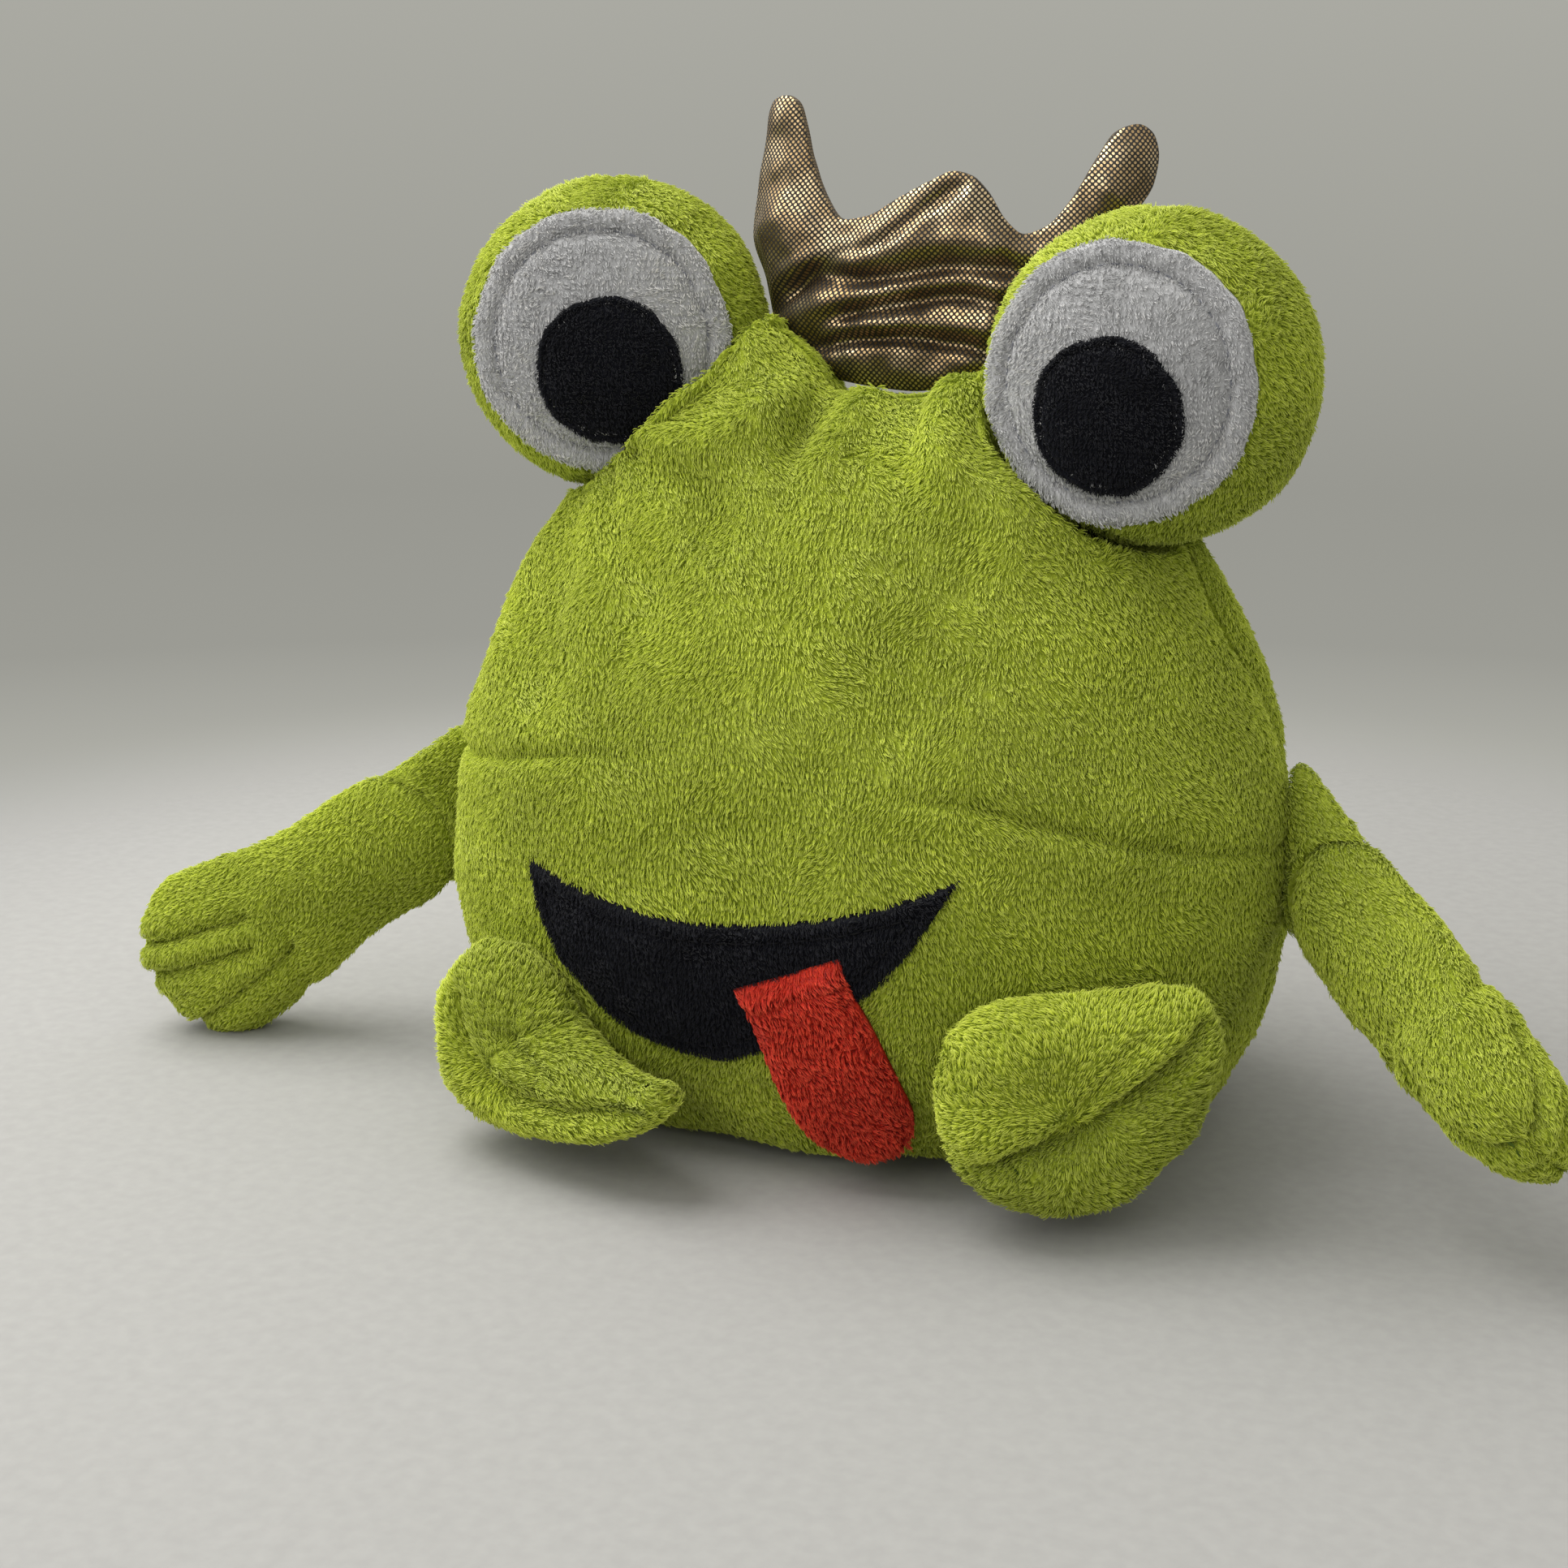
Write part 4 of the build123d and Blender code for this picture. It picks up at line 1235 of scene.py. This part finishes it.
def make_tab(side, seam, swing, droop):
    """The flat fold of plush that joins an arm to the body's side seam and slopes down to it."""
    rows, columns = 40, 72
    reach = np.linspace(-TAB_HALF_THICK, PIVOT, rows)
    a = np.arange(columns) * 2 * pi / columns
    fade = np.sqrt(np.clip(1 - (np.minimum(reach, 0) / TAB_HALF_THICK) ** 2, 0.02, 1))
    half = (TAB_HALF_HEIGHT / cos(droop) + 2.0 - 0.09 * reach)[:, None]
    v = np.sign(np.cos(a)) * np.abs(np.cos(a)) ** 0.55
    thick = (TAB_HALF_THICK * fade + 1.4 * smooth(12, 22, reach))[:, None]
    y = -thick * np.sign(np.sin(a)) * np.abs(np.sin(a)) ** 0.8
    # the outer end is cut round to take the root of the arm
    z_end = half[-1] * v
    along = np.sqrt(np.clip(19.2 ** 2 - (z_end * cos(droop)) ** 2, 9, None))
    limit = (PIVOT - along + z_end * np.sin(droop)) * cos(droop)
    x = np.where(reach[:, None] > 0, reach[:, None] * limit[None] / PIVOT, reach[:, None] + 0 * v)
    z = half * v - np.maximum(x, 0) * np.tan(droop)
    local = np.stack([x, y, z], -1)
    local[..., 1] += 0.8 * noise(local * (1, 0, 1), 7, 88) * smooth(0, 6, x)
    world = placed(local, (swing, seam))
    tab = closed_grid_object(f"{side}_shoulder_fold", world, green_plush)
    attach(tab, f"{side}_shoulder", "green_plush", f"{side}_shoulder_tab")
    normals = outwards_like(world, grid_normals(world, True), placed(np.array([6.0, 0, -3]), (swing, seam)))
    comb = swing @ np.array([0.8, 0, -0.5])
    pile(f"{side}_shoulder_pile", tab, world, normals, green_fibre, 3.2, 2.2, comb=comb,
         tuft=1.5, lean=1.15, seed=220 + (side == "left") * 10)


HEEL_R = 16.0
# each foot's edge, as (up the foot, across it), its crease with the fold above it, and its puckers
FEET = {
    "right": dict(
        heel=(-50, -85), yaw=-22, splay=38,
        edge=((47, 1), (42, -7), (32, -12), (20.5, -13.6), (8.5, -18.5), (-3, -26.5), (-10, -34.5),
              (-14.2, -33.5), (-14.5, -24), (-12.5, -12), (-6.5, 2), (2.5, 18), (11.5, 28), (21.5, 31),
              (35.5, 24.5), (44.5, 13), (47, 1)),
        crease=((36, 5), (25, 9), (16, 7.5), (4, -4), (-6, -19), (-12, -30)),
        fold=((22, -4), (17, -5), (6, -14), (-2, -22), (-9, -31)),
        puckers=(((20, -14), (20, -5)), ((20, -5), (28, -9)), ((9, -8), (4, -5))),
    ),
    "left": dict(
        heel=(70, -79), yaw=30, splay=16,
        edge=((4.8, 27), (15, 30.6), (24, 31), (31.8, 27.4), (38, 18.5), (42.2, 6), (46, -6.7),
              (49, -15.9), (49.6, -22), (46.5, -27.5), (37.5, -32), (20, -33), (8, -27), (-2, -21),
              (-8, -10.3), (-10, 1.5),
              (-8.2, 12), (-3.8, 20), (4.8, 27)),
        crease=((-2, 27), (0.5, 18), (5.6, 12.3), (10.4, 4), (15, -2.5), (22, -7), (28, -12), (36, -18),
                (44, -23)),
        fold=((12, 5), (24, 0), (37, -7), (45, -13)),
        puckers=(((4, 12.5), (9, 9)), ((9, 6), (14.5, 4)), ((13, -1), (18, -1.5)), ((1, 9), (4, 13))),
    ),
}


def make_foot(side, heel, yaw, splay, edge, crease, fold, puckers):
    """A stuffed foot: a raised lobe and a lower lip, drawn apart by a puckered seam, with painted light on
    the lobe's hairs and painted shade on the lip's.
    """
    outward = 1 if side == "left" else -1
    turned = turn_z(yaw) @ turn_y(-90 + outward * splay)
    place = (turned, np.array([*heel, HEEL_R], float))
    flat, faces, near = filled(polyline(edge, 260)[:-1], 1.5)
    x, z = flat.T
    spot = np.stack([x, z, 0 * x + (500 if side == "left" else 0)], 1)
    crease, fold = polyline(crease, 40), polyline(fold, 30)
    d_crease, d_fold = path_distance(x, z, crease), path_distance(x, z, fold)
    dome = np.sqrt(np.clip(1 - (1 - np.minimum(near / 13, 1)) ** 2, 0, 1))
    front = 12.5 * dome - 5.2 * bump(d_crease, 0, 2.6) * smooth(0, 5, near)
    front = front - 2.6 * bump(d_fold, 0, 2.4) * smooth(2, 8, near)
    front = front + 1.6 * bump(d_crease, 8, 4.5) * dome
    for path in puckers:
        front = front - 1.8 * bump(path_distance(x, z, path), 0, 1.0)
    front = front + (0.9 * fbm(spot, 16, 2, 101) + 0.4 * fbm(spot, 7, 2, 102)) * dome
    back = 11.0 * dome + 0.8 * fbm(spot, 18, 2, 104) * dome
    count = len(flat)
    local = np.concatenate([np.stack([x, -front, z], 1), np.stack([x, back, z], 1)])
    world = clear_of_belly(placed(local, place))
    world[..., 2] = np.maximum(world[..., 2], 0.9)
    foot = two_layers(f"{side}_foot_plush", world.reshape(-1, 3), faces, edge_ring(flat, near), green_plush)
    parts = [f"{side}_foot_{part}" for part in ("upper", "sole", "stuffing")]
    attach(foot, f"{side}_foot", "green_plush", *parts)
    points, normals, skin = mesh_surface(foot)
    middle = placed(np.array([17.0, -10, 2]), place)

    def comb(root):
        return 0.9 * unit(root - middle) + (0, 0, 0.15)

    # painted light and shade: the lobe's hairs are tinted lighter where light falls on it, the lower lip's
    # darker because it faces down into shade
    def bright(root):
        return 0.16 - 0.34 * inside_lip(root, place, crease)

    pile(f"{side}_foot_pile", foot, points, normals, green_fibre, 3.6, 2.3, comb=comb, tuft=1.8, lean=1.05,
         seed=240 + (side == "left") * 10, bright=bright, faces=skin)
    tree = BVHTree.FromPolygons([tuple(v) for v in local[:count]], faces)
    runs = []
    for path in (crease, *puckers):
        run, up = [], []
        for px, pz in polyline(path, 60 if path is crease else 14):
            hit, normal, _, _ = tree.ray_cast(Vector((px, -100, pz)), Vector((0, 1, 0)))
            if hit is not None:
                normal = np.array(normal)
                run.append(np.array(hit))
                up.append(normal if normal[1] < 0 else -normal)
        if len(run) > 4:
            runs.append((placed(np.array(run), place), np.array(up) @ turned.T))
    stitches = stitch_object(f"{side}_foot_stitches", runs, 0.3, 3.0, 0.9, green_thread, 60)
    attach(stitches, f"{side}_foot", "green_thread", f"{side}_toe_stitching")


def inside_lip(points, place, crease):
    """1 on the lower lip of a foot, past its crease, where the hairs get painted shade, and 0 on the raised
    lobe, where they get painted light.
    """
    local = (points - place[1]) @ place[0]
    flat = local[:, [0, 2]]
    nearest = np.argmin(np.linalg.norm(flat[:, None] - crease[None], axis=2), 1)
    step = crease[np.minimum(nearest + 1, len(crease) - 1)] - crease[np.maximum(nearest - 1, 0)]
    off = flat - crease[nearest]
    side = step[:, 0] * off[:, 1] - step[:, 1] * off[:, 0]
    lobe = np.array([30.0, 8.0])
    at = np.argmin(np.linalg.norm(crease - lobe, axis=1))
    step = crease[min(at + 1, len(crease) - 1)] - crease[max(at - 1, 0)]
    sign = step[0] * (lobe - crease[at])[1] - step[1] * (lobe - crease[at])[0]
    return (side * np.sign(sign) < 0) * 1.0


def edge_ring(flat, near):
    """The corners on a filled outline's edge, in order round it."""
    edge = np.where(near < 1e-3)[0]
    order = np.arctan2(*(flat[edge] - flat[edge].mean(0)).T)
    return [int(k) for k in edge[np.argsort(order)]]


def mesh_surface(obj):
    """An object's points in millimetres, their normals and its faces."""
    mesh = obj.data
    points = np.empty(len(mesh.vertices) * 3)
    mesh.vertices.foreach_get("co", points)
    normals = np.array([tuple(v.normal) for v in mesh.vertices])
    return points.reshape(-1, 3) / MM, normals, [tuple(f.vertices) for f in mesh.polygons]


def clear_of_belly(world, gap=1.2):
    """Move points that would sink into the front of the body out in front of it."""
    tree = front_surface.tree
    flat = world.reshape(-1, 3).copy()
    for i, q in enumerate(flat):
        if q[1] > -20:
            continue
        hit, normal, _, distance = tree.find_nearest(Vector(q))
        normal = np.array(normal)
        normal = normal if normal[1] < 0 else -normal
        depth = (q - np.array(hit)) @ normal
        if depth < gap and distance < 40:
            flat[i] = q + normal * (gap - depth)
    return flat.reshape(world.shape)


# ---------------------------------------------------------------------------------- put together
def mouth_mask():
    """Leaves the pile off the belly where the felt mouth lies on it."""
    lower = polyline(MOUTH_LOWER, 80)
    outline = np.concatenate([lower, np.stack([lower[:, 0], mouth_top(lower[:, 0])], 1)[::-1]])
    flat = front_grid[:-1, :-1][..., [0, 2]].reshape(-1, 2)
    covered = inside(flat, outline) & (edge_distance(flat, outline) > 1.0)
    return 1.0 - covered


for obj, grid, normals, node, mask, seed in (
    (body_front, front_grid, front_normals, "body_front_panel", mouth_mask(), 40),
    (body_back, back_grid, back_normals, "body_back_panel", None, 50),
):
    attach(obj, "body", "green_plush", node)
    pile(node.replace("panel", "pile"), obj, grid, normals, green_fibre, 3.4, 2.1, closed=False,
         comb=(0.15, 0, -0.9), tuft=1.5, lean=1.1, seed=seed, mask=mask)
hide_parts("body_stuffing")
make_base()
make_mouth()
make_tongue()
for side, eye in EYES.items():
    make_eye(side, **eye)
make_crown()
for side, arm in ARMS.items():
    make_arm(side, **arm)
for side, foot in FEET.items():
    make_foot(side, **foot)


# ---------------------------------------------------------------------------------- studio
FLOOR_HALF, FLOOR_Z, FLOOR_FADE = 0.8, -0.0004, (0.24, 0.48)
# the grey of the room by height of the line of sight, from 0 (30 degrees down) to 1 (30 degrees up)
SKY = ((0.0, 0.50), (0.21, 0.49), (0.25, 0.41), (0.285, 0.33), (0.345, 0.315), (0.41, 0.35), (0.55, 0.41),
       (0.72, 0.62), (1.0, 0.75))
CAMERA_PLACE, CAMERA_LENS = (0.19293, -0.59470, 0.26116), 55.9
CAMERA_RIGHT, CAMERA_UP = (0.93969, 0.34202, 0.0), (-0.09427, 0.25901, 0.96126)
CAMERA_BACK = (0.32877, -0.90329, 0.27564)


def floor_material():
    """Pale paper that fades away far from the puppet, into the grey behind it."""
    g = Graph("studio_paper")
    where = g.node("TexCoord").outputs["Object"]
    grain = g.noise(where, 0.004, 3)
    g.set(Specular_IOR_Level=0.2)
    color = g.ramp(grain, [(0.3, (0.350, 0.345, 0.338)), (0.7, (0.375, 0.370, 0.362))])
    g.finish(color, (grain, 0.85, 0.7), g.bump(grain, 0.00004))
    far = g.node("VectorMath", operation="LENGTH")
    g.link(where, far.inputs[0])
    fade = g.node("MapRange", interpolation_type="SMOOTHSTEP")
    g.link(far.outputs["Value"], fade.inputs["Value"])
    for key, value in zip(("From Min", "From Max", "To Min", "To Max"), (*FLOOR_FADE, 1.0, 0.0)):
        fade.inputs[key].default_value = value
    mixed = g.node("MixShader")
    g.link(fade.outputs["Result"], mixed.inputs[0])
    g.link(g.node("BsdfTransparent").outputs[0], mixed.inputs[1])
    g.link(g.shader.outputs[0], mixed.inputs[2])
    g.link(mixed.outputs[0], g.tree.nodes["Material Output"].inputs["Surface"])
    return g.material


def make_studio():
    mesh = bpy.data.meshes.new("studio_floor")
    points = [(x, y, FLOOR_Z) for y in (-FLOOR_HALF, FLOOR_HALF) for x in (-FLOOR_HALF, FLOOR_HALF)]
    mesh.from_pydata(points, [], [(0, 1, 3, 2)])
    mesh.materials.append(floor_material())
    floor = bpy.data.objects.new("studio_floor", mesh)
    bpy.context.scene.collection.objects.link(floor)

    def area(name, place, target, power, width, height, color=(1, 1, 1)):
        light = bpy.data.lights.new(name, "AREA")
        light.shape, light.size, light.size_y = "RECTANGLE", width, height
        light.energy, light.color = power, color
        obj = bpy.data.objects.new(name, light)
        obj.location = place
        obj.rotation_euler = (Vector(target) - Vector(place)).to_track_quat("-Z", "Y").to_euler()
        bpy.context.scene.collection.objects.link(obj)

    area("top_light", (-0.55, 0.0, 1.1), (0, 0, 0.08), 15.0, 1.1, 0.9, (1.0, 0.99, 0.96))
    area("front_light", (-0.45, -1.25, 0.85), (0, 0, 0.1), 3.6, 1.0, 0.9, (1.0, 0.99, 0.98))
    area("side_light", (-1.2, -0.3, 0.6), (0, 0, 0.1), 3, 0.8, 0.8, (0.97, 0.98, 1.0))

    world = bpy.data.worlds.new("studio_world")
    bpy.context.scene.world = world
    world.use_nodes = True
    tree = world.node_tree
    where = tree.nodes.new("ShaderNodeTexCoord")
    split = tree.nodes.new("ShaderNodeSeparateXYZ")
    ramp = tree.nodes.new("ShaderNodeValToRGB")
    tree.links.new(where.outputs["Generated"], split.inputs[0])
    spread = tree.nodes.new("ShaderNodeMapRange")
    tree.links.new(split.outputs["Z"], spread.inputs["Value"])
    spread.inputs["From Min"].default_value = -0.5
    spread.inputs["From Max"].default_value = 0.5
    tree.links.new(spread.outputs["Result"], ramp.inputs["Fac"])
    tree.links.new(ramp.outputs["Color"], tree.nodes["Background"].inputs["Color"])
    elements = ramp.color_ramp.elements
    while len(elements) < len(SKY):
        elements.new(0.5)
    for element, (position, level) in zip(elements, SKY):
        element.position = position
        element.color = (level, level * 0.995, level * (0.9 if level < 0.42 else 0.94), 1)

    camera = bpy.data.objects.new("camera", bpy.data.cameras.new("camera"))
    camera.data.lens, camera.data.sensor_width = CAMERA_LENS, 36.0
    matrix = Matrix.Identity(4)
    for row in range(3):
        for column, axis in enumerate((CAMERA_RIGHT, CAMERA_UP, CAMERA_BACK, CAMERA_PLACE)):
            matrix[row][column] = axis[row]
    camera.matrix_world = matrix
    camera.data.clip_start, camera.data.clip_end = 0.01, 20
    bpy.context.scene.collection.objects.link(camera)
    bpy.context.scene.camera = camera
    bpy.context.scene.view_settings.view_transform = "Standard"


make_studio()
